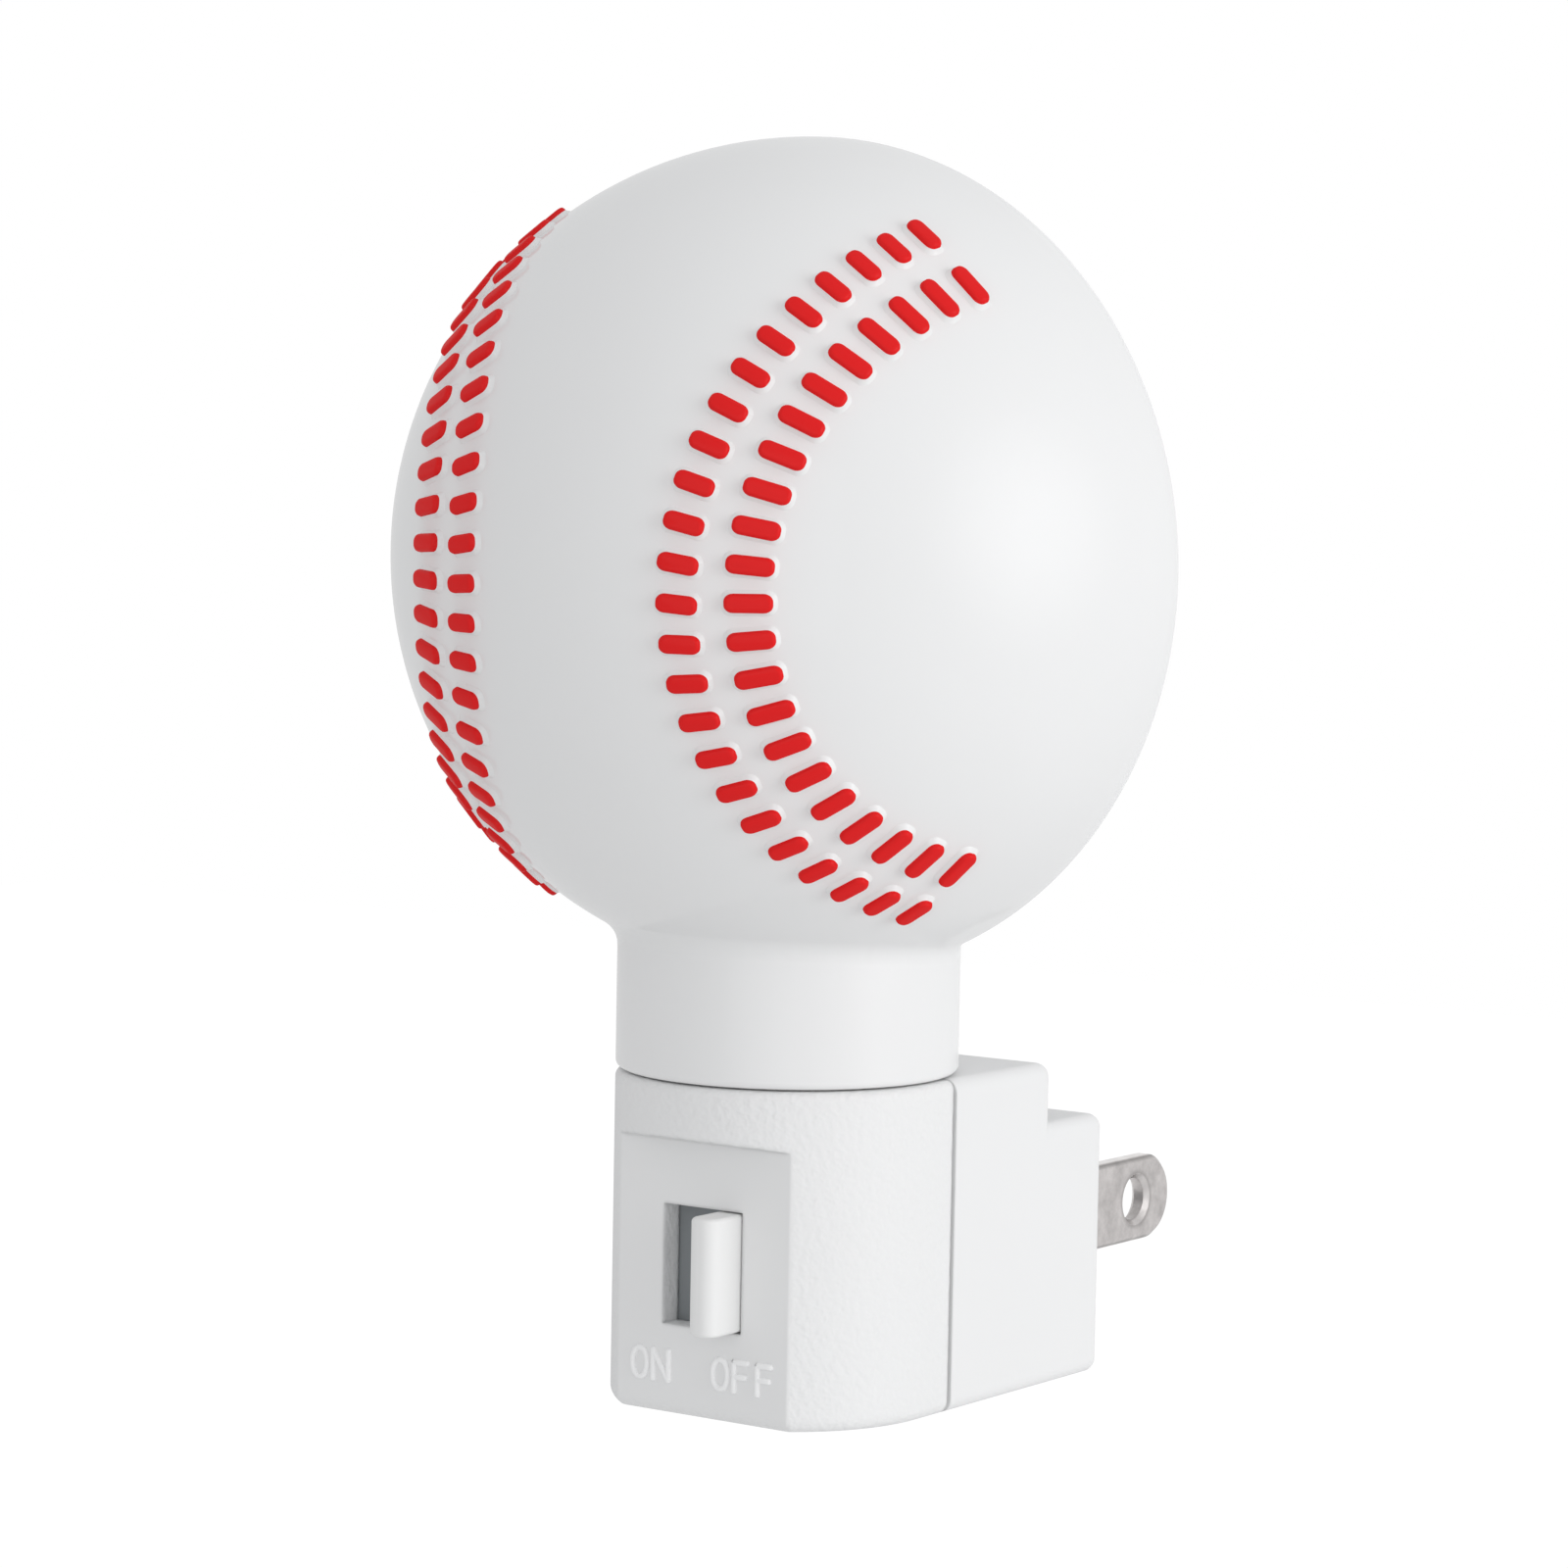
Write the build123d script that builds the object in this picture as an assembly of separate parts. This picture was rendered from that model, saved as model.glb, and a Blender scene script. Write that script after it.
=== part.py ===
from build123d import *
import os
from math import acos, atan2, cos, degrees, hypot, radians, sin

# Plug-in night light: a ball shade with raised red stitches over a small screw-in lamp, on a
# two-part housing with a slide switch in front and two plug blades behind.
# The origin lies midway between the blades on the face that meets the outlet. +Y points into the
# wall, +Z up, and +X to the right of someone who faces the light. Lengths are in millimetres.

# Gaps and cuts shared by all pieces
OVERRUN = 1.0  # how far a cutting solid runs past the faces that it opens
MOVING_GAP = 0.3  # between pieces that move past each other
FIT_GAP = 0.1  # between pieces that are pushed or slid together

# Lamp with a candelabra screw cap
BULB_DIAMETER = 19.0
BULB_LENGTH = 47.6  # from the solder tip to the top of the glass
GLASS_WALL = 0.6
CAP_DIAMETER = 11.6
CAP_HEIGHT = 12.0
CAP_WALL = 0.3
CAP_GRIP = 3.0  # how far the glass neck stands inside the cap
INSULATOR_HEIGHT = 1.8
TIP_DIAMETER = 4.8
TIP_HEIGHT = 1.2
STEM_HEIGHT = 14.0
STEM_DIAMETER = 3.6
STEM_FLARE = 2.5  # height of the flared foot of the stem
LEAD_DIAMETER = 0.6
LEAD_HEIGHT = 7.0
FILAMENT_SPAN = 9.0
FILAMENT_RISE = 2.0
FILAMENT_DIAMETER = 0.3

# Shade: a ball with a flattened back on a straight neck
BALL_RADIUS = 28.85
BACK_DEPTH = 13.0  # from the widest section to the flattened back
BACK_ROUND = 4.5  # radius where the ball turns into its back
BACK_TILT = 2.2  # lean of the back in degrees, with its lower edge further back
BALL_RISE = 35.5  # ball centre above the housing's top
BALL_SETBACK = 1.55  # ball centre behind the lamp axis
SHADE_WALL = 1.2
NECK_FILLET = 1.0
NECK_RIM_ROUND = 1.0
BULB_PASSAGE = 1.2  # room around the lamp inside the neck

# Raised stitches: two rows along each seam. The turn goes up and down the ball about its
# left-right axis, from straight ahead, and the side angle is measured from that axis.
# All are in degrees, except the lengths.
SEAM_DROP = -6.7  # turn where the right-hand seam comes nearest to the front
ROW_MIDDLE = -2.5  # turn of the middle of both its rows
LEFT_SEAM_DROP = 0.9  # the same two turns on the left-hand seam
LEFT_ROW_MIDDLE = -0.8
LEFT_SEAM_TURN = 2.7  # how much nearer to the front the left-hand seam lies
INNER_SIDE = 71.6  # side angles of the two rows where they come nearest to the front
OUTER_SIDE = 62.4
INNER_PINCH = 18.05  # how far each row bends to the side, a quarter turn away
OUTER_PINCH = 19.0
INNER_REACH = 61.3  # turn from the middle of a row to its last stitch at even spacing
OUTER_REACH = 55.6
INNER_SPREAD = 4.0  # further turn of the last stitches, as the spacing widens towards the ends
OUTER_SPREAD = 5.8
SLANT_SHARE = 0.75  # how much of their row's slope the stitches follow
INNER_LEAN = 6.0  # further slant of the stitches in each row
OUTER_LEAN = 1.0
INNER_COUNT = 24
OUTER_COUNT = 22
INNER_STITCH_LENGTH = 3.3  # lengths and width at the foot of a stitch
OUTER_STITCH_LENGTH = 3.7
STITCH_WIDTH = 1.65
STITCH_CORNER = 0.5
STITCH_HEIGHT = 0.3
STITCH_SEAT = 0.01  # film between the middle of a stitch and the ball
STITCH_MARGIN = 0.2  # how far the top of a stitch is drawn in from its foot

# Housing
BASE_HEIGHT = 23.15
LAMP_DEPTH = 23.0  # lamp axis in front of the outlet face
PARTING_SETBACK = 3.0  # joint between the housing halves behind the lamp axis
PARTING_GROOVE = 0.4
STEP_DEPTH = 7.1
STEP_DROP = 4.35
HOUSING_WALL = 1.75
LIP_THICKNESS = 0.8
LIP_REACH = 1.6
HOUSING_ROUND = 1.0
RIM_ROUND = 0.6
PANEL_RECESS = 2.4  # flat switch panel behind the front of the round housing
PANEL_DROP = 4.1
PANEL_STEP_RISE = 0.5  # slope of the step above the panel, over its depth

# Slide switch
SWITCH_TRAVEL = 4.2
KNOB_WIDTH = 2.2
KNOB_REACH = 3.3  # how far the knob stands out of the panel
KNOB_ROUND = 0.95
KNOB_EDGE_ROUND = 0.3
SLOT_END_GAP = 0.1
SLOT_SIDE_GAP = 0.12  # between the knob and the slot above and below
PLATE_COVER = 0.2  # how far the slide plate overlaps the slot's ends
PLATE_LAP = 1.2  # how far it overlaps the slot above and below
PLATE_THICKNESS = 1.5
RAIL_THICKNESS = 1.2
RAIL_ROOM = 2.05  # between the housing's floor and the lower switch rail
WIPER_HEIGHT = 3.4
WIPER_BOW = 0.9
WIPER_TAB = 1.2  # flat end of the wiper that lies on the plate
WIPER_GROOVE = 0.25  # depth of the seat that the wiper lies in

# Blades, strips and rivets
BLADE_PITCH = 12.7
BLADE_WIDTH = 6.35
BLADE_THICKNESS = 1.5
BLADE_LENGTH = 17.5
BLADE_TIP_ROUND = 3.1
BLADE_TIP_CHAMFER = 0.35
BLADE_HOLE_DIAMETER = 3.2
BLADE_HOLE_SETBACK = 4.9  # hole behind the tip
BLADE_HOLE_CHAMFER = 0.35
SHOULDER_WIDTH = 8.6
SHOULDER_DEPTH = 1.2
TAIL_LENGTH = 7.0
TAIL_WIDTH = 4.0
STRIP_THICKNESS = 0.4
STRIP_WIDTH = 3.0
STRIP_BEND = 0.8
RIVET_DIAMETER = 1.6
RIVET_HEAD_DIAMETER = 2.6
RIVET_HEAD_HEIGHT = 0.5
RIVET_REACH = 5.0  # rivets in front of the rear wall's inner face
CONTACT_WIDTH = 3.0
CONTACT_SPACE = 0.8  # open gap at the switch when it is off
CONTACT_REACH = 2.4  # how far the lamp contact runs past the lamp axis

# Lamp holder
SHELL_GAP = 0.3  # room for the thread between the lamp's cap and the shell
SHELL_WALL = 0.3
SHELL_HEIGHT = 11.6
SHELL_TAB_LENGTH = 3.4
TUBE_WALL = 1.0
TUBE_CLEARANCE = 0.7  # tube above the switch rails
COLLAR_HEIGHT = 8.0
COLLAR_WALL = 1.2
COLLAR_FLOOR = 1.5
FLANGE_THICKNESS = 1.4
TUBE_DEPTH = 2.2  # tube below the flange
FLANGE_GAP = 0.4

# Places that follow from the sizes above
BULB_RADIUS = BULB_DIAMETER / 2
CAP_RADIUS = CAP_DIAMETER / 2
TIP_RADIUS = TIP_DIAMETER / 2
NECK_BORE = BULB_RADIUS + BULB_PASSAGE
NECK_RADIUS = NECK_BORE + SHADE_WALL
CAVITY_RADIUS = NECK_RADIUS - HOUSING_WALL
LAMP_Y = -LAMP_DEPTH
RAIL_LAP = RAIL_THICKNESS + FIT_GAP + PLATE_LAP + SLOT_SIDE_GAP
HOLDER_DEPTH = HOUSING_WALL + FLANGE_THICKNESS + TUBE_DEPTH + TUBE_CLEARANCE
KNOB_HEIGHT = BASE_HEIGHT - HOLDER_DEPTH - 2 * RAIL_LAP - RAIL_ROOM - HOUSING_WALL
BASE_TOP = HOLDER_DEPTH + RAIL_LAP + KNOB_HEIGHT / 2  # blades and switch lie at height zero
BASE_BOTTOM = BASE_TOP - BASE_HEIGHT
PARTING_Y = LAMP_Y + PARTING_SETBACK
PANEL_Y = LAMP_Y - NECK_RADIUS + PANEL_RECESS
PANEL_INSIDE_Y = PANEL_Y + HOUSING_WALL
PANEL_TOP = BASE_TOP - PANEL_DROP
STEP_TOP = BASE_TOP - STEP_DROP
REAR_WALL_Y = -HOUSING_WALL
NECK_BOTTOM = BASE_TOP + MOVING_GAP
BALL_Y = LAMP_Y + BALL_SETBACK
BALL_Z = BASE_TOP + BALL_RISE
BLADE_X = BLADE_PITCH / 2

KNOB_X = SWITCH_TRAVEL / 2  # the knob rests at the right, switched off
SLOT_WIDTH = KNOB_WIDTH + SWITCH_TRAVEL + 2 * SLOT_END_GAP
SLOT_HEIGHT = KNOB_HEIGHT + 2 * SLOT_SIDE_GAP
PLATE_WIDTH = SLOT_WIDTH + SWITCH_TRAVEL + 2 * PLATE_COVER
PLATE_HEIGHT = SLOT_HEIGHT + 2 * PLATE_LAP
PLATE_SWEEP = (PLATE_WIDTH + SWITCH_TRAVEL) / 2 + MOVING_GAP
PLATE_Y = PANEL_INSIDE_Y + FIT_GAP
PLATE_BACK_Y = PLATE_Y + PLATE_THICKNESS
RAIL_INNER = PLATE_HEIGHT / 2 + FIT_GAP
RAIL_OUTER = RAIL_INNER + RAIL_THICKNESS
WIPER_LENGTH = SWITCH_TRAVEL + 2 * CONTACT_WIDTH
WIPER_BACK_Y = PLATE_BACK_Y - WIPER_GROOVE + WIPER_BOW + STRIP_THICKNESS
CONTACT_Y = WIPER_BACK_Y + MOVING_GAP

SHELL_BORE = CAP_RADIUS + SHELL_GAP
SHELL_RADIUS = SHELL_BORE + SHELL_WALL
TUBE_BORE = SHELL_RADIUS + FIT_GAP
TUBE_RADIUS = TUBE_BORE + TUBE_WALL
TUBE_BOTTOM = RAIL_OUTER + TUBE_CLEARANCE
COLLAR_RADIUS = NECK_BORE - FIT_GAP
COLLAR_TOP = BASE_TOP + COLLAR_HEIGHT
FLANGE_RADIUS = CAVITY_RADIUS - FLANGE_GAP
SPIGOT_RADIUS = (TUBE_RADIUS + FLANGE_RADIUS) / 2
FLANGE_TOP = BASE_TOP - HOUSING_WALL
CONTACT_TOP = TUBE_BOTTOM - MOVING_GAP
TIP_BOTTOM = CONTACT_TOP + MOVING_GAP
INSULATOR_BOTTOM = TIP_BOTTOM + TIP_HEIGHT
CAP_BOTTOM = INSULATOR_BOTTOM + INSULATOR_HEIGHT
CAP_TOP = CAP_BOTTOM + CAP_HEIGHT
GLASS_BOTTOM = CAP_TOP - CAP_GRIP
GLASS_TOP = TIP_BOTTOM + BULB_LENGTH
GLASS_NECK_RADIUS = CAP_RADIUS - CAP_WALL - FIT_GAP
STEM_TOP = GLASS_BOTTOM + STEM_HEIGHT

LAMP_AXIS = Axis((0, LAMP_Y, 0), (0, 0, 1))
LAMP_SECTION = Plane(origin=(0, LAMP_Y, 0), x_dir=(1, 0, 0), z_dir=(0, -1, 0))
ON_FLOOR = (Align.CENTER, Align.CENTER, Align.MIN)


def block(low, high):
    """Box between two corners."""
    size = Vector(high) - Vector(low)
    return Pos(*low) * Box(size.X, size.Y, size.Z, align=Align.MIN)


def turned(outline):
    """Solid of revolution about the lamp axis from a half section in radius and height."""
    return revolve(LAMP_SECTION * make_face(outline), LAMP_AXIS)


def turned_polygon(*points):
    """Solid of revolution from the corners of a half section."""
    return turned(Polyline(*points, close=True))


def both_sides(piece):
    """A piece and its mirror image on the other side of the light."""
    return [mirror(piece, about=Plane.YZ), piece]


def ball_section(inset):
    """Half section of the ball: a round front, a rounded rim and a shallow crowned back."""
    ball = BALL_RADIUS - inset
    rim = BACK_ROUND - inset
    depth = BACK_DEPTH - inset
    rim_middle = ball - rim
    crown_shift = (rim_middle**2 - (depth - rim) ** 2) / (2 * (depth - rim))
    rim_sweep = degrees(atan2(crown_shift, rim_middle))
    front_arc = CenterArc((0, 0), ball, -90, 90)
    rim_arc = CenterArc((rim_middle, 0), rim, 0, rim_sweep)
    crown_arc = CenterArc((0, -crown_shift), depth + crown_shift, rim_sweep, 90 - rim_sweep)
    return make_face([front_arc, rim_arc, crown_arc, Line(crown_arc @ 1, front_arc @ 0)])


def shade_form(inset, neck_bottom):
    """Ball and neck as one solid, drawn in by an inset, with a fillet where they meet."""
    ball = Pos(0, BALL_Y, BALL_Z) * Rot(BACK_TILT, 0, 0) * revolve(ball_section(inset), Axis.Y)
    neck = Cylinder(NECK_RADIUS - inset, BALL_Z - neck_bottom, align=ON_FLOOR)
    form = ball + Pos(0, LAMP_Y, neck_bottom) * neck
    neck_side = form.faces().filter_by(GeomType.CYLINDER)[0]
    meeting = neck_side.edges().filter_by(GeomType.BSPLINE)
    return fillet(meeting, NECK_FILLET + inset)


def shade_globe():
    """Blown shade: one thin wall all round, open at the foot of its neck."""
    shell = shade_form(0, NECK_BOTTOM) - shade_form(SHADE_WALL, NECK_BOTTOM - OVERRUN)
    foot = shell.faces().sort_by(Axis.Z)[0].outer_wire().edges()
    return fillet(foot, NECK_RIM_ROUND)


def stitch_plane(turn, seam_drop, row_side, row_pinch, row_lean):
    """Plane on the ball at one stitch, with its X direction along the stitch."""
    along = radians(turn)
    bend = radians(turn - seam_drop)
    pinch = radians(row_pinch)
    side = radians(row_side) - pinch * sin(bend) ** 2
    slope = -pinch * sin(2 * bend)
    outward = Vector(cos(side), -cos(along) * sin(side), sin(along) * sin(side))
    to_side = Vector(sin(side), cos(along) * cos(side), -sin(along) * cos(side))
    lean = atan2(SLANT_SHARE * slope, sin(side)) - radians(row_lean)
    direction = to_side * cos(lean) + outward.cross(to_side) * sin(lean)
    seat = Vector(0, BALL_Y, BALL_Z) + outward * (BALL_RADIUS + STITCH_SEAT)
    return Plane(origin=seat, x_dir=direction, z_dir=outward)


def stitch_row(seam, side, pinch, lean, reach, spread, count, length):
    """One row of raised pads on a right-hand seam, each drawn in towards its top."""
    drop, middle, seam_turn = seam
    oblong = Rectangle(length, STITCH_WIDTH)
    outline = chamfer(oblong.vertices(), STITCH_CORNER)
    draft = degrees(atan2(STITCH_MARGIN, STITCH_HEIGHT))
    pad = extrude(outline, STITCH_HEIGHT, taper=draft)
    pads = []
    for index in range(count):
        share = 2 * index / (count - 1) - 1
        turn = middle + reach * share + spread * share**3
        pads.append(stitch_plane(turn, drop, side + seam_turn, pinch, lean) * pad)
    return pads


def seam_stitches(*seam):
    """The pads of both rows of a right-hand seam."""
    inner = (INNER_SIDE, INNER_PINCH, INNER_LEAN, INNER_REACH, INNER_SPREAD, INNER_COUNT)
    outer = (OUTER_SIDE, OUTER_PINCH, OUTER_LEAN, OUTER_REACH, OUTER_SPREAD, OUTER_COUNT)
    pads = stitch_row(seam, *inner, INNER_STITCH_LENGTH)
    pads += stitch_row(seam, *outer, OUTER_STITCH_LENGTH)
    return Compound([pad.solid() for pad in pads])


def stitches():
    """The pads of the left and of the right seam."""
    left = seam_stitches(LEFT_SEAM_DROP, LEFT_ROW_MIDDLE, LEFT_SEAM_TURN)
    right = seam_stitches(SEAM_DROP, ROW_MIDDLE, 0)
    return [mirror(left, about=Plane.YZ), right]


def spigot_hole():
    """Round opening in the housing's top, around the groove of the lamp holder."""
    depth = HOUSING_WALL + 2 * OVERRUN
    hole = Cylinder(SPIGOT_RADIUS + FIT_GAP, depth, align=ON_FLOOR)
    return Pos(0, LAMP_Y, FLANGE_TOP - OVERRUN) * hole


def round_front(radius, bottom, top, rear_y):
    """Half-round block about the lamp axis with straight sides back to a plane."""
    ends_behind = (Align.CENTER, Align.MAX)
    straight = rear_y - LAMP_Y
    sides = Pos(0, rear_y) * Rectangle(2 * radius, straight, align=ends_behind)
    in_front = Pos(0, rear_y) * Rectangle(2 * radius, 2 * radius + straight, align=ends_behind)
    outline = (Pos(0, LAMP_Y) * Circle(radius) + sides) & in_front
    return Pos(0, 0, bottom) * extrude(outline, top - bottom)


def switch_rails():
    """Two ribs behind the panel that guide the slide plate above and below."""
    rail = block(
        (-CAVITY_RADIUS, PANEL_INSIDE_Y - OVERRUN, RAIL_INNER),
        (CAVITY_RADIUS, PLATE_BACK_Y, RAIL_OUTER),
    )
    return rail + mirror(rail, about=Plane.XY)


def panel_cut():
    """Cutting block in front of the switch panel, under a step that slopes up to the front."""
    front_y = LAMP_Y - NECK_RADIUS
    slope = PANEL_STEP_RISE / PANEL_RECESS
    side_view = Polyline(
        (PANEL_Y, BASE_BOTTOM - OVERRUN),
        (PANEL_Y, PANEL_TOP),
        (front_y - OVERRUN, PANEL_TOP + PANEL_STEP_RISE + slope * OVERRUN),
        (front_y - OVERRUN, BASE_BOTTOM - OVERRUN),
        close=True,
    )
    return extrude(Plane.YZ * make_face(side_view), NECK_RADIUS, both=True)


def front_housing():
    """Round front half with the flat switch panel, its slot and the rails behind it."""
    shell = round_front(NECK_RADIUS, BASE_BOTTOM, BASE_TOP, PARTING_Y)
    shell -= panel_cut()
    shell = fillet(shell.faces().sort_by(Axis.Z)[0].edges().filter_by(off_joint), HOUSING_ROUND)
    shell = fillet(shell.faces().sort_by(Axis.Z)[-1].edges().filter_by(off_joint), RIM_ROUND)
    cavity = round_front(CAVITY_RADIUS, BASE_BOTTOM + HOUSING_WALL, FLANGE_TOP, PARTING_Y + OVERRUN)
    kept_front = block(
        (-NECK_RADIUS, LAMP_Y - NECK_RADIUS, BASE_BOTTOM),
        (NECK_RADIUS, PANEL_INSIDE_Y, BASE_TOP),
    )
    slot = block(
        (-SLOT_WIDTH / 2, PANEL_Y - OVERRUN, -SLOT_HEIGHT / 2),
        (SLOT_WIDTH / 2, PANEL_INSIDE_Y + OVERRUN, SLOT_HEIGHT / 2),
    )
    pocket = block(
        (-PLATE_SWEEP, PANEL_INSIDE_Y, -RAIL_INNER),
        (PLATE_SWEEP, PLATE_BACK_Y + MOVING_GAP, RAIL_INNER),
    )
    in_wall = round_front(NECK_RADIUS - HOUSING_WALL / 2, BASE_BOTTOM, BASE_TOP, PARTING_Y)
    shell = shell - (cavity - kept_front) + (switch_rails() & in_wall) - slot - pocket
    return shell + housing_lip() - spigot_hole()


def off_joint(edge):
    """Whether an edge belongs to the outside of the front half and not to its joint."""
    return edge.center().Y < PARTING_Y - FIT_GAP


def housing_lip():
    """Thin rim that runs from the front half into the rear half."""
    half = CAVITY_RADIUS + LIP_THICKNESS
    low = BASE_BOTTOM + HOUSING_WALL
    outer = block(
        (-half, PARTING_Y - OVERRUN, low - LIP_THICKNESS),
        (half, PARTING_Y + LIP_REACH, FLANGE_TOP + LIP_THICKNESS),
    )
    inner = block(
        (-CAVITY_RADIUS, PARTING_Y - 2 * OVERRUN, low),
        (CAVITY_RADIUS, PARTING_Y + LIP_REACH + OVERRUN, FLANGE_TOP),
    )
    return outer - inner


def stepped_block(inset, front_y):
    """Rear block with its step, drawn in by an inset, from its outlet face to a front plane."""
    low = BASE_BOTTOM + inset
    step_y = -STEP_DEPTH - inset
    side_view = Polyline(
        (front_y, low),
        (-inset, low),
        (-inset, STEP_TOP - inset),
        (step_y, STEP_TOP - inset),
        (step_y, BASE_TOP - inset),
        (front_y, BASE_TOP - inset),
        close=True,
    )
    return extrude(Plane.YZ * make_face(side_view), NECK_RADIUS - inset, both=True)


def rear_housing():
    """Stepped rear half with the slots for the blades and a rebate for the front half's lip."""
    front_y = PARTING_Y + PARTING_GROOVE
    shell = stepped_block(0, front_y)
    outer_edges = shell.edges().filter_by(lambda edge: edge.center().Y > front_y + FIT_GAP)
    inner_corner = outer_edges.sort_by_distance((0, -STEP_DEPTH, STEP_TOP))[0]
    shell = fillet([edge for edge in outer_edges if edge != inner_corner], HOUSING_ROUND)
    shell -= stepped_block(HOUSING_WALL, front_y - OVERRUN)
    rebate_half = CAVITY_RADIUS + LIP_THICKNESS + FIT_GAP
    rebate = block(
        (-rebate_half, front_y - OVERRUN, BASE_BOTTOM + HOUSING_WALL - LIP_THICKNESS - FIT_GAP),
        (rebate_half, PARTING_Y + LIP_REACH + FIT_GAP, FLANGE_TOP + LIP_THICKNESS + FIT_GAP),
    )
    shell -= rebate
    thick = BLADE_THICKNESS / 2 + FIT_GAP
    wide = BLADE_WIDTH / 2 + FIT_GAP
    for x in (-BLADE_X, BLADE_X):
        shell -= block((x - thick, REAR_WALL_Y - OVERRUN, -wide), (x + thick, OVERRUN, wide))
    return shell - spigot_hole()


def blade(x):
    """Flat plug blade with a round tip and hole, a shoulder behind the wall and a riveted tail."""
    tail_end = REAR_WALL_Y - TAIL_LENGTH
    tongue = Plane.YZ * (Pos(BLADE_LENGTH / 2, 0) * Rectangle(BLADE_LENGTH, BLADE_WIDTH))
    tongue = extrude(tongue, BLADE_THICKNESS / 2, both=True)
    tip_corners = tongue.edges().filter_by(Axis.X).group_by(Axis.Y)[-1]
    tongue = fillet(tip_corners, BLADE_TIP_ROUND)
    tip_rim = tongue.edges().filter_by(lambda edge: edge.center().Y > BLADE_LENGTH - BLADE_TIP_ROUND)
    tongue = chamfer([edge for edge in tip_rim if abs(edge.center().X) > 0], BLADE_TIP_CHAMFER)
    half = BLADE_THICKNESS / 2
    tongue += block((-half, REAR_WALL_Y, -BLADE_WIDTH / 2), (half, 0, BLADE_WIDTH / 2))
    shoulder = block(
        (-half, REAR_WALL_Y - SHOULDER_DEPTH, -SHOULDER_WIDTH / 2),
        (half, REAR_WALL_Y, SHOULDER_WIDTH / 2),
    )
    tail = block((-half, tail_end, -TAIL_WIDTH / 2), (half, REAR_WALL_Y, TAIL_WIDTH / 2))
    tongue -= Pos(0, BLADE_LENGTH - BLADE_HOLE_SETBACK, 0) * cross_pin(BLADE_HOLE_DIAMETER / 2)
    tongue = chamfer(tongue.edges().filter_by(GeomType.CIRCLE).filter_by(is_whole), BLADE_HOLE_CHAMFER)
    return Pos(x, 0, 0) * (tongue + shoulder + tail) - rivet_hole(x)


def is_whole(edge):
    """Whether an edge is a full circle."""
    return edge.is_closed


def cross_pin(radius):
    """Cutting pin across the light, longer than a blade and a strip are thick."""
    return Rot(0, 90, 0) * Cylinder(radius, 2 * (BLADE_THICKNESS + STRIP_THICKNESS + OVERRUN))


def rivet_hole(x):
    """Hole for the rivet through a blade's tail and the strip on its outer face."""
    return Pos(x, REAR_WALL_Y - RIVET_REACH, 0) * cross_pin(RIVET_DIAMETER / 2 + FIT_GAP)


def rivet(x):
    """Rivet with two flat heads that holds a strip to the outer face of a blade's tail."""
    outward = 1 if x > 0 else -1
    grip = BLADE_THICKNESS + STRIP_THICKNESS
    head = Cylinder(RIVET_HEAD_DIAMETER / 2, RIVET_HEAD_HEIGHT, align=ON_FLOOR)
    shank = Cylinder(RIVET_DIAMETER / 2, grip, align=ON_FLOOR)
    upright = shank + Pos(0, 0, grip) * head + Pos(0, 0, -RIVET_HEAD_HEIGHT) * head
    place = Pos(x - outward * BLADE_THICKNESS / 2, REAR_WALL_Y - RIVET_REACH, 0)
    return place * Rot(0, outward * 90, 0) * upright


def strip(path, width):
    """Brass strip bent along a plan-view path, standing on edge."""
    return extrude(trace(path, STRIP_THICKNESS), width / 2, both=True)


def line_strap():
    """Strip from the left blade forward to the switch, where its end is the live contact."""
    x = -BLADE_X - BLADE_THICKNESS / 2 - STRIP_THICKNESS / 2
    y = CONTACT_Y + STRIP_THICKNESS / 2
    end_x = -CONTACT_WIDTH - CONTACT_SPACE
    start_y = REAR_WALL_Y - SHOULDER_DEPTH - FIT_GAP
    path = FilletPolyline((x, start_y), (x, y), (end_x, y), radius=STRIP_BEND)
    return strip(path, STRIP_WIDTH) - rivet_hole(-BLADE_X)


def shell_strap():
    """Strip from the right blade forward to the tab of the lamp holder's screw shell."""
    blade_x = BLADE_X + BLADE_THICKNESS / 2 + STRIP_THICKNESS / 2
    shell_x = SHELL_RADIUS + STRIP_THICKNESS / 2
    start_y = REAR_WALL_Y - SHOULDER_DEPTH - FIT_GAP
    joggle_y = REAR_WALL_Y - TAIL_LENGTH - STRIP_WIDTH
    end_y = LAMP_Y - STRIP_WIDTH / 2
    path = Polyline(
        (blade_x, start_y),
        (blade_x, joggle_y),
        (shell_x, joggle_y - STRIP_WIDTH),
        (shell_x, end_y),
    )
    strap = strip(path, STRIP_WIDTH)
    riser = block(
        (SHELL_RADIUS, end_y, 0),
        (SHELL_RADIUS + STRIP_THICKNESS, LAMP_Y + STRIP_WIDTH / 2, TUBE_BOTTOM - MOVING_GAP),
    )
    return strap + riser - rivet_hole(BLADE_X)


def strap_rivets():
    """The two rivets of the strips."""
    return Compound([rivet(x).solid() for x in (-BLADE_X, BLADE_X)])


def lamp_contact():
    """Strip from the switch up and back to the spring leaf under the lamp's tip."""
    riser_y = CONTACT_Y + STRIP_THICKNESS / 2
    leaf_z = CONTACT_TOP - STRIP_THICKNESS / 2
    path = FilletPolyline(
        (riser_y, -WIPER_HEIGHT / 2),
        (riser_y, leaf_z),
        (LAMP_Y + CONTACT_REACH, leaf_z),
        radius=STRIP_BEND,
    )
    return extrude(Plane.YZ * trace(path, STRIP_THICKNESS), CONTACT_WIDTH / 2, both=True)


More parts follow.
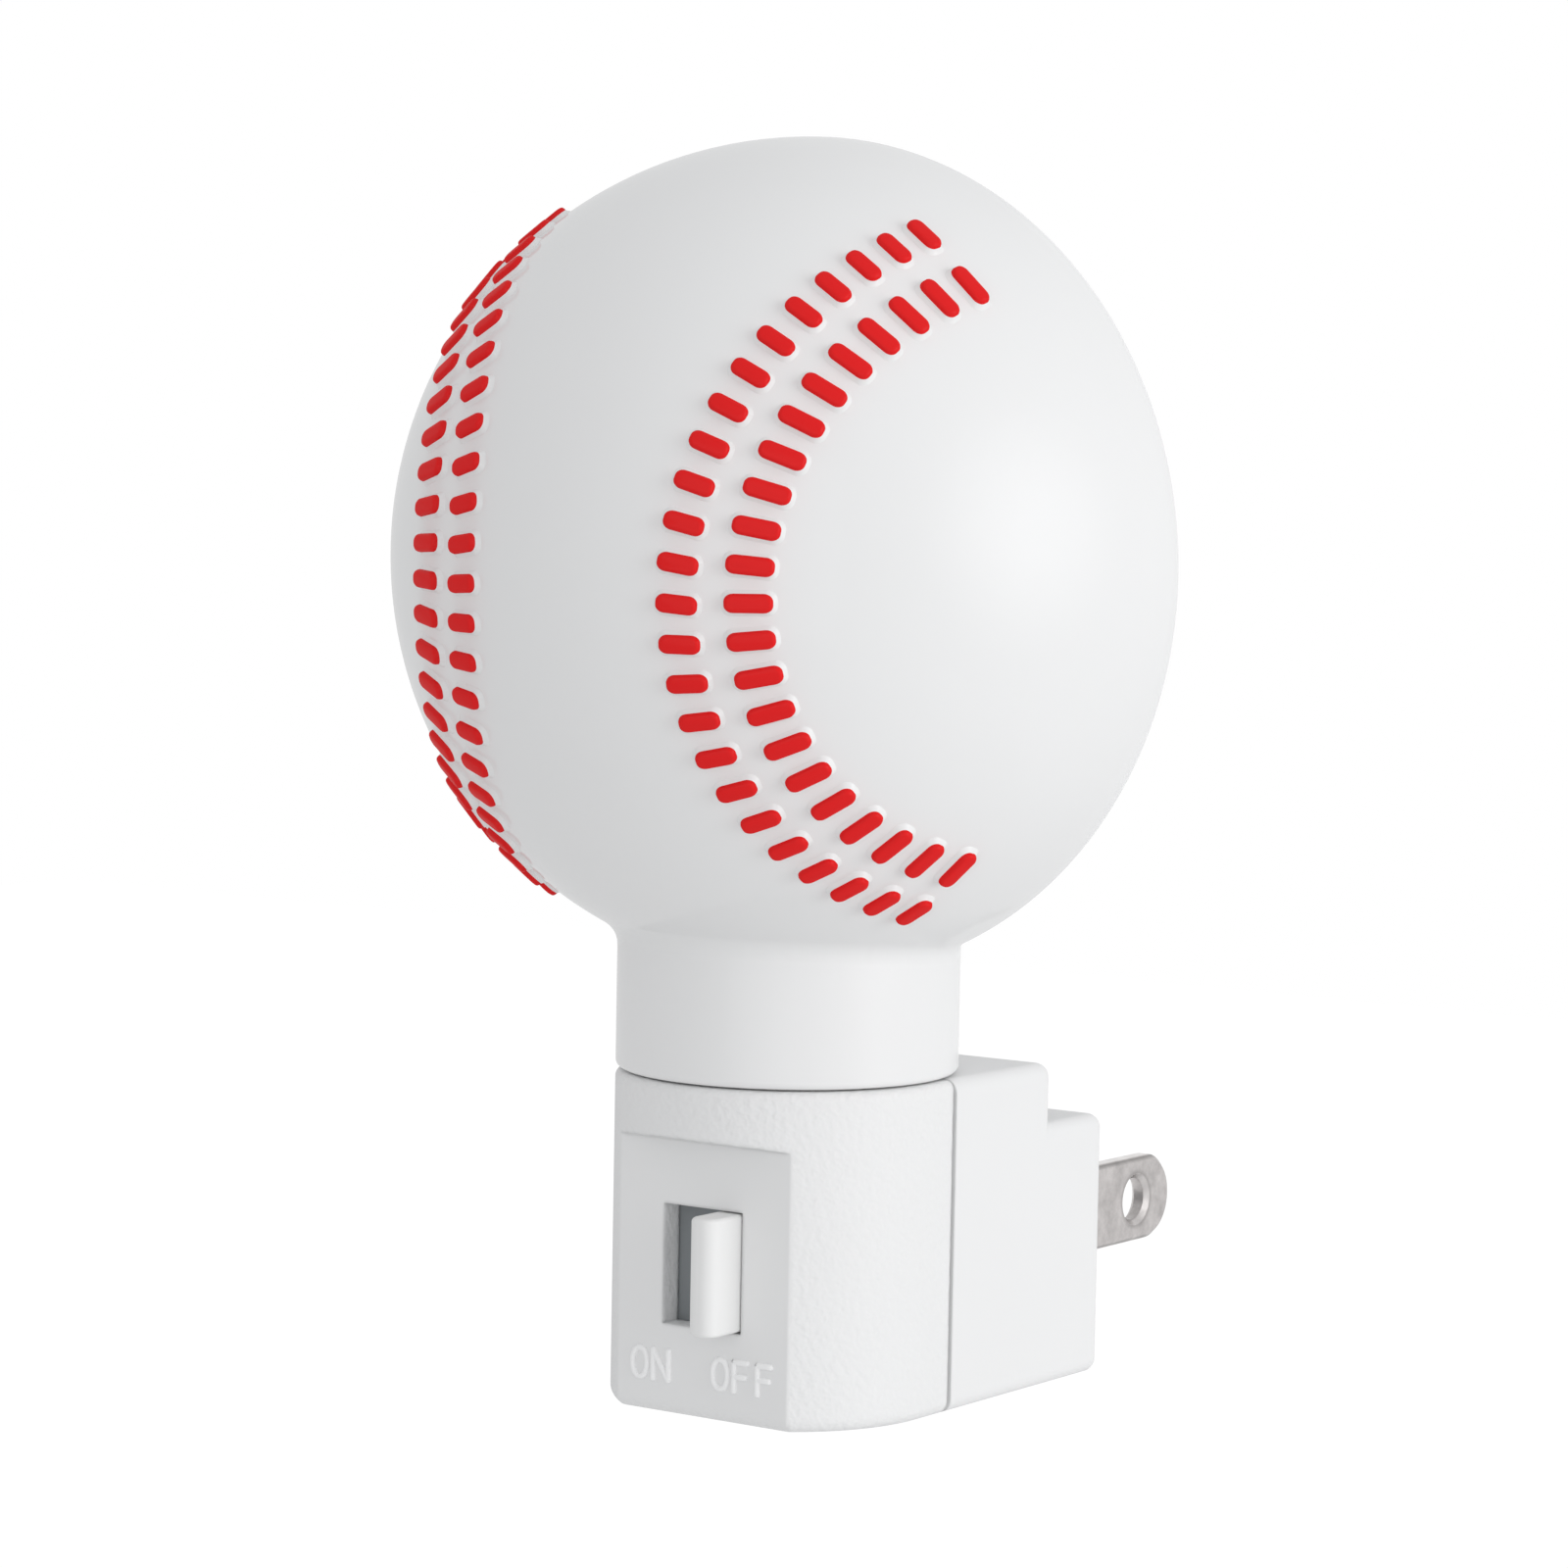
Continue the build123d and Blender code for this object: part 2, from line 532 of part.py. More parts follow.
def switch_slider():
    """Knob and slide plate in one moulding, at rest at the right-hand end of the slot."""
    knob = block(
        (-KNOB_WIDTH / 2, PANEL_Y - KNOB_REACH, -KNOB_HEIGHT / 2),
        (KNOB_WIDTH / 2, PLATE_Y, KNOB_HEIGHT / 2),
    )
    front_edges = knob.edges().filter_by(Axis.Z).group_by(Axis.Y)[0]
    knob = fillet(front_edges, KNOB_ROUND)
    end_edges = knob.edges().filter_by(Axis.Z, reverse=True).filter_by(is_outside_panel)
    knob = fillet(end_edges, KNOB_EDGE_ROUND)
    plate = block(
        (-PLATE_WIDTH / 2, PLATE_Y, -PLATE_HEIGHT / 2),
        (PLATE_WIDTH / 2, PLATE_BACK_Y, PLATE_HEIGHT / 2),
    )
    seat = block(
        (-WIPER_LENGTH / 2 - FIT_GAP, PLATE_BACK_Y - WIPER_GROOVE, -WIPER_HEIGHT / 2 - FIT_GAP),
        (WIPER_LENGTH / 2 + FIT_GAP, PLATE_BACK_Y + OVERRUN, WIPER_HEIGHT / 2 + FIT_GAP),
    )
    return Pos(KNOB_X, 0, 0) * (knob + plate - seat)


def is_outside_panel(edge):
    """Whether an edge of the knob lies wholly or partly in front of the panel."""
    return edge.center().Y < PLATE_Y - FIT_GAP


def switch_wiper():
    """Bowed brass bridge in the slide plate's back that joins the two contacts when on."""
    seat_y = PLATE_BACK_Y - WIPER_GROOVE + STRIP_THICKNESS / 2
    bow_y = seat_y + WIPER_BOW
    half = WIPER_LENGTH / 2
    slope = WIPER_BOW + WIPER_TAB
    path = Polyline(
        (-half, seat_y),
        (WIPER_TAB - half, seat_y),
        (slope - half, bow_y),
        (half - slope, bow_y),
        (half - WIPER_TAB, seat_y),
        (half, seat_y),
    )
    return Pos(KNOB_X, 0, 0) * strip(path, WIPER_HEIGHT)


def lamp_holder():
    """Moulded holder: a collar for the shade, a tube for the shell and a flange held by the halves."""
    holder = turned_polygon(
        (TUBE_BORE, TUBE_BOTTOM),
        (TUBE_RADIUS, TUBE_BOTTOM),
        (TUBE_RADIUS, FLANGE_TOP - FLANGE_THICKNESS),
        (FLANGE_RADIUS, FLANGE_TOP - FLANGE_THICKNESS),
        (FLANGE_RADIUS, FLANGE_TOP),
        (SPIGOT_RADIUS, FLANGE_TOP),
        (SPIGOT_RADIUS, BASE_TOP),
        (COLLAR_RADIUS, BASE_TOP),
        (COLLAR_RADIUS, COLLAR_TOP),
        (COLLAR_RADIUS - COLLAR_WALL, COLLAR_TOP),
        (COLLAR_RADIUS - COLLAR_WALL, BASE_TOP + COLLAR_FLOOR),
        (TUBE_RADIUS, BASE_TOP + COLLAR_FLOOR),
        (TUBE_RADIUS, COLLAR_TOP),
        (TUBE_BORE, COLLAR_TOP),
    )
    flat = block(
        (-NECK_RADIUS, LAMP_Y - NECK_RADIUS, TUBE_BOTTOM - OVERRUN),
        (NECK_RADIUS, PANEL_INSIDE_Y + FIT_GAP, FLANGE_TOP),
    )
    return holder - flat


def screw_shell():
    """Thin brass shell that takes the lamp's cap, with a tab for its strip."""
    shell_bottom = TUBE_BOTTOM
    shell = turned_polygon(
        (SHELL_BORE, shell_bottom),
        (SHELL_RADIUS, shell_bottom),
        (SHELL_RADIUS, shell_bottom + SHELL_HEIGHT),
        (SHELL_BORE, shell_bottom + SHELL_HEIGHT),
    )
    tab = block(
        (SHELL_RADIUS - SHELL_WALL, LAMP_Y - STRIP_WIDTH / 2, shell_bottom - SHELL_TAB_LENGTH),
        (SHELL_RADIUS, LAMP_Y + STRIP_WIDTH / 2, shell_bottom + OVERRUN),
    )
    outside = Pos(0, LAMP_Y, 0) * Cylinder(SHELL_RADIUS, 2 * CAP_TOP)
    inside = Pos(0, LAMP_Y, shell_bottom) * Cylinder(SHELL_BORE, SHELL_HEIGHT, align=ON_FLOOR)
    return shell + (tab & outside) - inside


def bulb_tip():
    """Solder contact at the foot of the lamp."""
    return turned_polygon(
        (0, TIP_BOTTOM),
        (TIP_RADIUS - TIP_HEIGHT / 2, TIP_BOTTOM),
        (TIP_RADIUS, TIP_BOTTOM + TIP_HEIGHT / 2),
        (TIP_RADIUS, INSULATOR_BOTTOM),
        (0, INSULATOR_BOTTOM),
    )


def bulb_insulator():
    """Dark glass cone between the tip and the screw cap."""
    return turned_polygon(
        (0, INSULATOR_BOTTOM),
        (TIP_RADIUS, INSULATOR_BOTTOM),
        (CAP_RADIUS - CAP_WALL, CAP_BOTTOM),
        (0, CAP_BOTTOM),
    )


def bulb_cap():
    """Brass screw cap, closed below by a rim that holds the insulator."""
    return turned_polygon(
        (TIP_RADIUS, CAP_BOTTOM),
        (CAP_RADIUS, CAP_BOTTOM),
        (CAP_RADIUS, CAP_TOP),
        (CAP_RADIUS - CAP_WALL, CAP_TOP),
        (CAP_RADIUS - CAP_WALL, CAP_BOTTOM + CAP_WALL),
        (TIP_RADIUS, CAP_BOTTOM + CAP_WALL),
    )


def glass_form(inset):
    """Straight-sided inside or outside of the lamp's glass, under a round top."""
    radius = BULB_RADIUS - inset
    neck = GLASS_NECK_RADIUS - inset
    widest = GLASS_TOP - BULB_RADIUS
    below = widest - CAP_TOP
    dome_start = acos(radius / hypot(neck, below)) - atan2(below, neck)
    dome = CenterArc((0, widest), radius, degrees(dome_start), 90 - degrees(dome_start))
    sides = Polyline(dome @ 0, (neck, CAP_TOP), (neck, GLASS_BOTTOM), (0, GLASS_BOTTOM), dome @ 1)
    return turned([dome, sides])


def bulb_envelope():
    """Thin glass of the lamp."""
    return glass_form(0) - glass_form(GLASS_WALL)


def bulb_stem():
    """Glass mount inside the lamp, flared at its foot."""
    flare = GLASS_NECK_RADIUS - GLASS_WALL
    stem = STEM_DIAMETER / 2
    return turned_polygon(
        (0, GLASS_BOTTOM),
        (flare, GLASS_BOTTOM),
        (stem, GLASS_BOTTOM + STEM_FLARE),
        (stem, STEM_TOP),
        (0, STEM_TOP),
    )


def bulb_leads():
    """Two wires that spread from the stem to the ends of the filament."""
    foot = STEM_DIAMETER / 2 - LEAD_DIAMETER
    lead_path = Polyline(
        (foot, LAMP_Y, STEM_TOP),
        (foot, LAMP_Y, STEM_TOP + LEAD_DIAMETER),
        (FILAMENT_SPAN / 2, LAMP_Y, STEM_TOP + LEAD_HEIGHT),
    )
    section = Plane(lead_path @ 0, z_dir=lead_path % 0) * Circle(LEAD_DIAMETER / 2)
    lead = sweep(section, path=lead_path, transition=Transition.RIGHT)
    return Compound([wire.solid() for wire in both_sides(lead)])


def bulb_filament():
    """Fine arched filament between the lead wires."""
    half = FILAMENT_SPAN / 2
    foot = STEM_TOP + LEAD_HEIGHT + FILAMENT_DIAMETER
    arch = ThreePointArc((-half, LAMP_Y, foot), (0, LAMP_Y, foot + FILAMENT_RISE), (half, LAMP_Y, foot))
    section = Plane(arch @ 0, z_dir=arch % 0) * Circle(FILAMENT_DIAMETER / 2)
    return sweep(section, path=arch)


stitches_left, stitches_right = stitches()
PIECES = {
    "shade_globe": shade_globe(),
    "stitches_left": stitches_left,
    "stitches_right": stitches_right,
    "front_housing": front_housing(),
    "rear_housing": rear_housing(),
    "blade_left": blade(-BLADE_X),
    "blade_right": blade(BLADE_X),
    "strap_rivets": strap_rivets(),
    "line_strap": line_strap(),
    "shell_strap": shell_strap(),
    "lamp_contact": lamp_contact(),
    "switch_slider": switch_slider(),
    "switch_wiper": switch_wiper(),
    "lamp_holder": lamp_holder(),
    "screw_shell": screw_shell(),
    "bulb_tip": bulb_tip(),
    "bulb_insulator": bulb_insulator(),
    "bulb_cap": bulb_cap(),
    "bulb_envelope": bulb_envelope(),
    "bulb_stem": bulb_stem(),
    "bulb_leads": bulb_leads(),
    "bulb_filament": bulb_filament(),
}

os.makedirs("parts", exist_ok=True)
for name, piece in PIECES.items():
    export_step(piece, f"parts/{name}.step")
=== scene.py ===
import bpy
from math import atan2, cos, hypot, pi, radians, sin
from mathutils import Matrix, Vector


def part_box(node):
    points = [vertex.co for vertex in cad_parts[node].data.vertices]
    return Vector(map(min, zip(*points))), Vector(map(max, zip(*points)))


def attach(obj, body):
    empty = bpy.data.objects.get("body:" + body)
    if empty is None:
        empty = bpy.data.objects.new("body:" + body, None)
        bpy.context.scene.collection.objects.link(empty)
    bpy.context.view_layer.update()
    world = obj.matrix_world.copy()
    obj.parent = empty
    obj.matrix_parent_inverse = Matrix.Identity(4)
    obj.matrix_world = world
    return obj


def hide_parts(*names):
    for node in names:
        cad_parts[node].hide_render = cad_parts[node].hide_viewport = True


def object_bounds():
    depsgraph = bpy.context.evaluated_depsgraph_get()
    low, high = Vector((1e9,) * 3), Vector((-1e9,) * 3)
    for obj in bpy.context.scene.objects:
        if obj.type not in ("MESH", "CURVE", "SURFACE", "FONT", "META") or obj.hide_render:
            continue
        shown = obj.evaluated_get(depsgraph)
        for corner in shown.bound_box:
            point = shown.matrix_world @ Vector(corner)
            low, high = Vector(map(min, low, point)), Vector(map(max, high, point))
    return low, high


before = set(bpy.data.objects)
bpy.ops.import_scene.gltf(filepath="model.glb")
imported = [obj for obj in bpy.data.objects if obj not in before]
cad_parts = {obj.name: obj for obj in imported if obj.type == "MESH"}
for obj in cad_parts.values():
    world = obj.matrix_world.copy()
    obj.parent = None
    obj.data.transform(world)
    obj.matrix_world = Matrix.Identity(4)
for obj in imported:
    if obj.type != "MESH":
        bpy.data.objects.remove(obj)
cad_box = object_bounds()

# Camera: it stands to the right of the light, level with the ball, and looks slightly down.
# Its place, turn and lens give the photograph's view of the base, the blade and the ball.
MM = 0.001
VIEW_PLACE = Vector((182.72, -280.64, 55.22)) * MM
VIEW_AZIMUTH = radians(35.445)
VIEW_PITCH = radians(4.106)
VIEW_ROLL = radians(1.043)
VIEW_LENS = 105.18
bpy.ops.object.camera_add()
camera = bpy.context.object
sideways = Matrix.Rotation(VIEW_AZIMUTH, 4, "Z")
downwards = Matrix.Rotation(pi / 2 - VIEW_PITCH, 4, "X")
rolled = Matrix.Rotation(VIEW_ROLL, 4, "Z")
camera.matrix_world = Matrix.Translation(VIEW_PLACE) @ sideways @ downwards @ rolled
camera.data.lens = VIEW_LENS
bpy.context.scene.camera = camera

# Studio: a pale floor well below the light and an even white surround with a slightly cool fill.
# A large round lamp with a soft edge shines from the right, and weaker ones from the front and above.
FLOOR_DROP = 500 * MM
FLOOR_SIZE = 8.0
FLOOR_GLOW = 1.08
SHADOW_SHARE = 0.1
SURROUND_LEVEL = 0.67
SURROUND_TINT = (0.987, 0.997, 1.009)
PAPER_WHITE = (0.85, 0.85, 0.85)
BACKDROP_WHITE = (1, 1, 1)
RIGHT_PLACE, RIGHT_SIZE, RIGHT_POWER = (0.885, 0.05, 0.18), 1.2, 12.0
FRONT_PLACE, FRONT_SIZE, FRONT_POWER = (0.3, -0.88, 0.1), 0.8, 1.15
TOP_PLACE, TOP_SIZE, TOP_POWER = (0.1, -0.1, 0.95), 0.7, 0.4
LAMP_AIM = Vector((0, -0.02, 0.04))
LAMP_MIDDLE, LAMP_EDGE = (0.5, 0.5, 0), 0.5


def lit_for_lens(nodes, links):
    """Light path value that is one for rays from the lens, mirrors and glass, and zero for the rest."""
    path = nodes.new("ShaderNodeLightPath")
    first = nodes.new("ShaderNodeMath")
    first.operation = "MAXIMUM"
    links.new(path.outputs["Is Camera Ray"], first.inputs[0])
    links.new(path.outputs["Is Glossy Ray"], first.inputs[1])
    both = nodes.new("ShaderNodeMath")
    both.operation = "MAXIMUM"
    links.new(first.outputs[0], both.inputs[0])
    links.new(path.outputs["Is Transmission Ray"], both.inputs[1])
    return both.outputs[0]


bpy.ops.object.select_all(action="DESELECT")
bpy.ops.mesh.primitive_plane_add(size=FLOOR_SIZE, location=(0, 0, cad_box[0][2] - FLOOR_DROP))
floor = bpy.context.object
floor.name = "floor"
floor_paper = bpy.data.materials.new("floor_paper")
floor_paper.use_nodes = True
nodes, links = floor_paper.node_tree.nodes, floor_paper.node_tree.links
nodes.clear()
paper = nodes.new("ShaderNodeBsdfDiffuse")
paper.inputs["Color"].default_value = (*PAPER_WHITE, 1)
glow = nodes.new("ShaderNodeEmission")
glow.inputs["Strength"].default_value = FLOOR_GLOW
white_floor = nodes.new("ShaderNodeMixShader")
white_floor.inputs["Fac"].default_value = 1 - SHADOW_SHARE
seen_floor = nodes.new("ShaderNodeMixShader")
floor_output = nodes.new("ShaderNodeOutputMaterial")
links.new(paper.outputs[0], white_floor.inputs[1])
links.new(glow.outputs[0], white_floor.inputs[2])
links.new(lit_for_lens(nodes, links), seen_floor.inputs["Fac"])
links.new(paper.outputs[0], seen_floor.inputs[1])
links.new(white_floor.outputs[0], seen_floor.inputs[2])
links.new(seen_floor.outputs[0], floor_output.inputs["Surface"])
floor.data.materials.append(floor_paper)

surround = bpy.data.worlds.new("surround")
bpy.context.scene.world = surround
surround.use_nodes = True
nodes, links = surround.node_tree.nodes, surround.node_tree.links
nodes.clear()
room = nodes.new("ShaderNodeBackground")
room.inputs["Color"].default_value = (*SURROUND_TINT, 1)
room.inputs["Strength"].default_value = SURROUND_LEVEL
backdrop = nodes.new("ShaderNodeBackground")
backdrop.inputs["Color"].default_value = (*BACKDROP_WHITE, 1)
seen_room = nodes.new("ShaderNodeMixShader")
room_output = nodes.new("ShaderNodeOutputWorld")
links.new(lit_for_lens(nodes, links), seen_room.inputs["Fac"])
links.new(room.outputs[0], seen_room.inputs[1])
links.new(backdrop.outputs[0], seen_room.inputs[2])
links.new(seen_room.outputs[0], room_output.inputs["Surface"])


def soft_lamp(name, place, size, power):
    """Large area lamp that points at the light and stays out of the picture."""
    bpy.ops.object.light_add(type="AREA", location=place)
    lamp = bpy.context.object
    lamp.name = name
    lamp.data.size = size
    lamp.data.energy = power
    lamp.rotation_euler = (LAMP_AIM - Vector(place)).to_track_quat("-Z", "Y").to_euler()
    lamp.visible_camera = False
    return lamp


right_lamp = soft_lamp("right_lamp", RIGHT_PLACE, RIGHT_SIZE, RIGHT_POWER)
right_lamp.data.shape = "DISK"
right_lamp.data.use_nodes = True
nodes, links = right_lamp.data.node_tree.nodes, right_lamp.data.node_tree.links
lamp_place = nodes.new("ShaderNodeNewGeometry")
from_middle = nodes.new("ShaderNodeVectorMath")
from_middle.operation = "DISTANCE"
from_middle.inputs[1].default_value = LAMP_MIDDLE
fall_off = nodes.new("ShaderNodeMapRange")
fall_off.interpolation_type = "SMOOTHSTEP"
fall_off.inputs["From Max"].default_value = LAMP_EDGE
fall_off.inputs["To Min"].default_value = 1
fall_off.inputs["To Max"].default_value = 0
links.new(lamp_place.outputs["Parametric"], from_middle.inputs[0])
links.new(from_middle.outputs["Value"], fall_off.inputs["Value"])
links.new(fall_off.outputs["Result"], nodes["Emission"].inputs["Strength"])
soft_lamp("front_lamp", FRONT_PLACE, FRONT_SIZE, FRONT_POWER)
top_lamp = soft_lamp("top_lamp", TOP_PLACE, TOP_SIZE, TOP_POWER)
top_lamp.visible_glossy = False

bpy.context.scene.view_settings.view_transform = "Standard"

# Housing halves: two injection mouldings in white plastic, welded along the groove between them.
# The round front has a fine orange-peel grain from its mould; the switch panel and rear are smoother.
HOUSING_WHITE = (0.817, 0.817, 0.817)
PANEL_RECESS = 2.4 * MM
PANEL_DROP = 4.1 * MM
GRAIN_EDGE = 0.2 * MM
EDGE_ROUND, EDGE_SAMPLES = 0.5 * MM, 8
CLOUD_SCALE, CLOUD_DETAIL = 60, 3
CLOUD_SHADE = 0.97
GLOSS_LEAST, GLOSS_MOST = 0.85, 1.15
housing_low, housing_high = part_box("front_housing")
NECK_RADIUS = housing_high.x
LAMP_Y = housing_low.y + NECK_RADIUS
PANEL_Y = housing_low.y + PANEL_RECESS
PANEL_TOP = housing_high.z - PANEL_DROP


def plastic(name, colour, roughness, shine, grain_size, grain_depth):
    """Moulded plastic: faint cloudy tone, uneven gloss and a fine moulded grain."""
    material = bpy.data.materials.new(name)
    material.use_nodes = True
    nodes, links = material.node_tree.nodes, material.node_tree.links
    shader = nodes["Principled BSDF"]
    shader.inputs["Specular IOR Level"].default_value = shine
    place = nodes.new("ShaderNodeTexCoord")
    cloud = nodes.new("ShaderNodeTexNoise")
    cloud.inputs["Scale"].default_value = CLOUD_SCALE
    cloud.inputs["Detail"].default_value = CLOUD_DETAIL
    tone = nodes.new("ShaderNodeMix")
    tone.data_type = "RGBA"
    tone.inputs["A"].default_value = (*(CLOUD_SHADE * part for part in colour), 1)
    tone.inputs["B"].default_value = (*colour, 1)
    gloss = nodes.new("ShaderNodeMapRange")
    gloss.inputs["To Min"].default_value = roughness * GLOSS_LEAST
    gloss.inputs["To Max"].default_value = roughness * GLOSS_MOST
    skin = nodes.new("ShaderNodeTexNoise")
    skin.inputs["Scale"].default_value = 1 / grain_size
    skin.inputs["Detail"].default_value = 1
    grain = nodes.new("ShaderNodeBump")
    grain.name = "grain"
    grain.inputs["Distance"].default_value = grain_depth
    for texture in (cloud, skin):
        links.new(place.outputs["Object"], texture.inputs["Vector"])
    links.new(cloud.outputs["Fac"], tone.inputs["Factor"])
    links.new(cloud.outputs["Fac"], gloss.inputs["Value"])
    links.new(tone.outputs["Result"], shader.inputs["Base Color"])
    links.new(gloss.outputs["Result"], shader.inputs["Roughness"])
    links.new(skin.outputs["Fac"], grain.inputs["Height"])
    links.new(grain.outputs["Normal"], shader.inputs["Normal"])
    return material


def add_coat(material, weight, roughness):
    """Lays a thin gloss over a moulded surface."""
    shader = material.node_tree.nodes["Principled BSDF"]
    shader.inputs["Coat Weight"].default_value = weight
    shader.inputs["Coat Roughness"].default_value = roughness


def finish_node(name, material):
    """Gives a construction node its finish."""
    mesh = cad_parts[name].data
    mesh.materials.clear()
    mesh.materials.append(material)


def object_axes(nodes, links):
    """Outputs for the X, Y and Z of a place on the object."""
    place = nodes.new("ShaderNodeTexCoord")
    axes = nodes.new("ShaderNodeSeparateXYZ")
    links.new(place.outputs["Object"], axes.inputs["Vector"])
    return axes.outputs


def ramp_from(nodes, links, value, start):
    """Zero below a place and one past it, with a short soft edge."""
    ramp = nodes.new("ShaderNodeMapRange")
    ramp.inputs["From Min"].default_value = start
    ramp.inputs["From Max"].default_value = start + GRAIN_EDGE
    links.new(value, ramp.inputs["Value"])
    return ramp.outputs["Result"]


front_plastic = plastic(
    "front_plastic", HOUSING_WHITE, roughness=0.66, shine=0, grain_size=0.5 * MM, grain_depth=0.1 * MM
)
nodes, links = front_plastic.node_tree.nodes, front_plastic.node_tree.links
housing_axes = object_axes(nodes, links)
off_panel = nodes.new("ShaderNodeMath")
off_panel.operation = "MAXIMUM"
links.new(ramp_from(nodes, links, housing_axes["Y"], PANEL_Y), off_panel.inputs[0])
links.new(ramp_from(nodes, links, housing_axes["Z"], PANEL_TOP), off_panel.inputs[1])
links.new(off_panel.outputs[0], nodes["grain"].inputs["Strength"])
rear_plastic = plastic(
    "rear_plastic", HOUSING_WHITE, roughness=0.62, shine=0, grain_size=0.8 * MM, grain_depth=0.008 * MM
)
for half, moulding in (("front_housing", front_plastic), ("rear_housing", rear_plastic)):
    nodes, links = moulding.node_tree.nodes, moulding.node_tree.links
    soft_edge = nodes.new("ShaderNodeBevel")
    soft_edge.samples = EDGE_SAMPLES
    soft_edge.inputs["Radius"].default_value = EDGE_ROUND
    links.new(soft_edge.outputs["Normal"], nodes["grain"].inputs["Normal"])
    add_coat(moulding, weight=0.12, roughness=0.35)
    finish_node(half, moulding)

# Switch words: ON and OFF in thin raised strokes, moulded with the panel under the slot.
# Straight strokes are rounded bars and each O is a rounded ring, half sunk in the panel. Their plastic
# is coloured lighter than the panel as a painted highlight, for the light that the raised strokes catch.
# Painted highlight: the strokes are coloured lighter than the housing.
WORD_PAINTED_HIGHLIGHT_WHITE = (0.92, 0.92, 0.92)
STROKE = 0.42 * MM
STROKE_ROUND = 0.48 * STROKE
ROUND_STEPS = 5
LETTER_TALL = 1.98 * MM
RING_WIDE = 1.24 * MM
BAR_WIDE = 1.3 * MM
FLAG_WIDE = 1.08 * MM
MIDDLE_FLAG_SHARE = 0.85
LETTER_MIDDLE_Z = -7.05 * MM
ON_RING_X, ON_BAR_X = -5.16 * MM, -4.02 * MM
OFF_RING_X, OFF_FLAGS_X = 1.68 * MM, (2.84 * MM, 4.78 * MM)
half_tall = LETTER_TALL / 2
FACE_ON = Matrix.Rotation(pi / 2, 4, "X")
letter_parts = []


def apply_modifier(piece, kind, **settings):
    """Adds a modifier with its settings to a piece and applies it."""
    bpy.context.view_layer.objects.active = piece
    modifier = piece.modifiers.new(kind.lower(), kind)
    for name, value in settings.items():
        setattr(modifier, name, value)
    bpy.ops.object.modifier_apply(modifier=modifier.name)


def smooth(piece, angle):
    """Leaves the piece alone selected, with soft shading up to an angle."""
    bpy.ops.object.select_all(action="DESELECT")
    piece.select_set(True)
    bpy.context.view_layer.objects.active = piece
    bpy.ops.object.shade_smooth_by_angle(angle=angle)


def joined(pieces, name):
    """Joins pieces into one."""
    bpy.ops.object.select_all(action="DESELECT")
    for piece in pieces:
        piece.select_set(True)
    bpy.context.view_layer.objects.active = pieces[0]
    bpy.ops.object.join()
    whole = bpy.context.object
    whole.name = name
    return whole


def stroke_bar(start_x, start_z, end_x, end_z):
    """Straight raised stroke with round ends between two places on the panel."""
    start = Vector((start_x, PANEL_Y, LETTER_MIDDLE_Z + start_z))
    end = Vector((end_x, PANEL_Y, LETTER_MIDDLE_Z + end_z))
    bpy.ops.object.select_all(action="DESELECT")
    bpy.ops.mesh.primitive_cube_add(size=STROKE)
    bar = bpy.context.object
    bar.dimensions.x = (end - start).length + STROKE
    bpy.ops.object.transform_apply(scale=True)
    apply_modifier(bar, "BEVEL", width=STROKE_ROUND, segments=ROUND_STEPS)
    slope = Matrix.Rotation(-atan2(end.z - start.z, end.x - start.x), 4, "Y")
    bar.data.transform(Matrix.Translation((start + end) / 2) @ slope)
    letter_parts.append(bar)


def stroke_ring(x):
    """Upright oval raised stroke."""
    bpy.ops.object.select_all(action="DESELECT")
    bpy.ops.curve.primitive_bezier_circle_add(radius=half_tall)
    ring = bpy.context.object
    bpy.ops.object.mode_set(mode="EDIT")
    bpy.ops.transform.resize(value=(RING_WIDE / LETTER_TALL, 1, 1))
    bpy.ops.object.mode_set(mode="OBJECT")
    ring.data.bevel_depth = STROKE / 2
    ring.data.bevel_resolution = ROUND_STEPS - 1
    bpy.ops.object.convert(target="MESH")
    ring = bpy.context.object
    ring.data.transform(Matrix.Translation((x, PANEL_Y, LETTER_MIDDLE_Z)) @ FACE_ON)
    letter_parts.append(ring)


stroke_ring(ON_RING_X)
stroke_bar(ON_BAR_X, -half_tall, ON_BAR_X, half_tall)
stroke_bar(ON_BAR_X, half_tall, ON_BAR_X + BAR_WIDE, -half_tall)
stroke_bar(ON_BAR_X + BAR_WIDE, -half_tall, ON_BAR_X + BAR_WIDE, half_tall)
stroke_ring(OFF_RING_X)
for flag_x in OFF_FLAGS_X:
    stroke_bar(flag_x, -half_tall, flag_x, half_tall)
    stroke_bar(flag_x, half_tall, flag_x + FLAG_WIDE, half_tall)
    stroke_bar(flag_x, 0, flag_x + MIDDLE_FLAG_SHARE * FLAG_WIDE, 0)
switch_words = joined(letter_parts, "switch_words")
smooth(switch_words, angle=radians(60))
switch_words.data.materials.clear()
# The strokes' plastic carries the painted highlight in its lighter colour.
word_painted_highlight_plastic = plastic(
    "word_painted_highlight_plastic", WORD_PAINTED_HIGHLIGHT_WHITE, roughness=0.5, shine=0, grain_size=0.8 * MM, grain_depth=0.006 * MM
)
switch_words.data.materials.append(word_painted_highlight_plastic)
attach(switch_words, "base")

# Plug blades: punched from nickel-plated brass strip, with a coined rim round the hole. The plating
# is satin, with a brushed lie along the blade and duller patches where it has been handled. Round the
# hole's rim and along the edges, bright bands are a painted highlight and dark lines beside them are
# painted shade, for the light and shade that the rim and edges catch.
NICKEL, NICKEL_DULL = (0.60, 0.573, 0.566), (0.41, 0.392, 0.387)
PATCH_SCALE, PATCH_DETAIL, PATCH_ROUGHNESS = 420, 5, 0.65
PATCH_LEAST, PATCH_MOST = 0.35, 0.65
DULL_GLOSS, BRIGHT_GLOSS = 1.3, 0.8
LINE_DETAIL, LINE_DEPTH = 2, 0.012 * MM


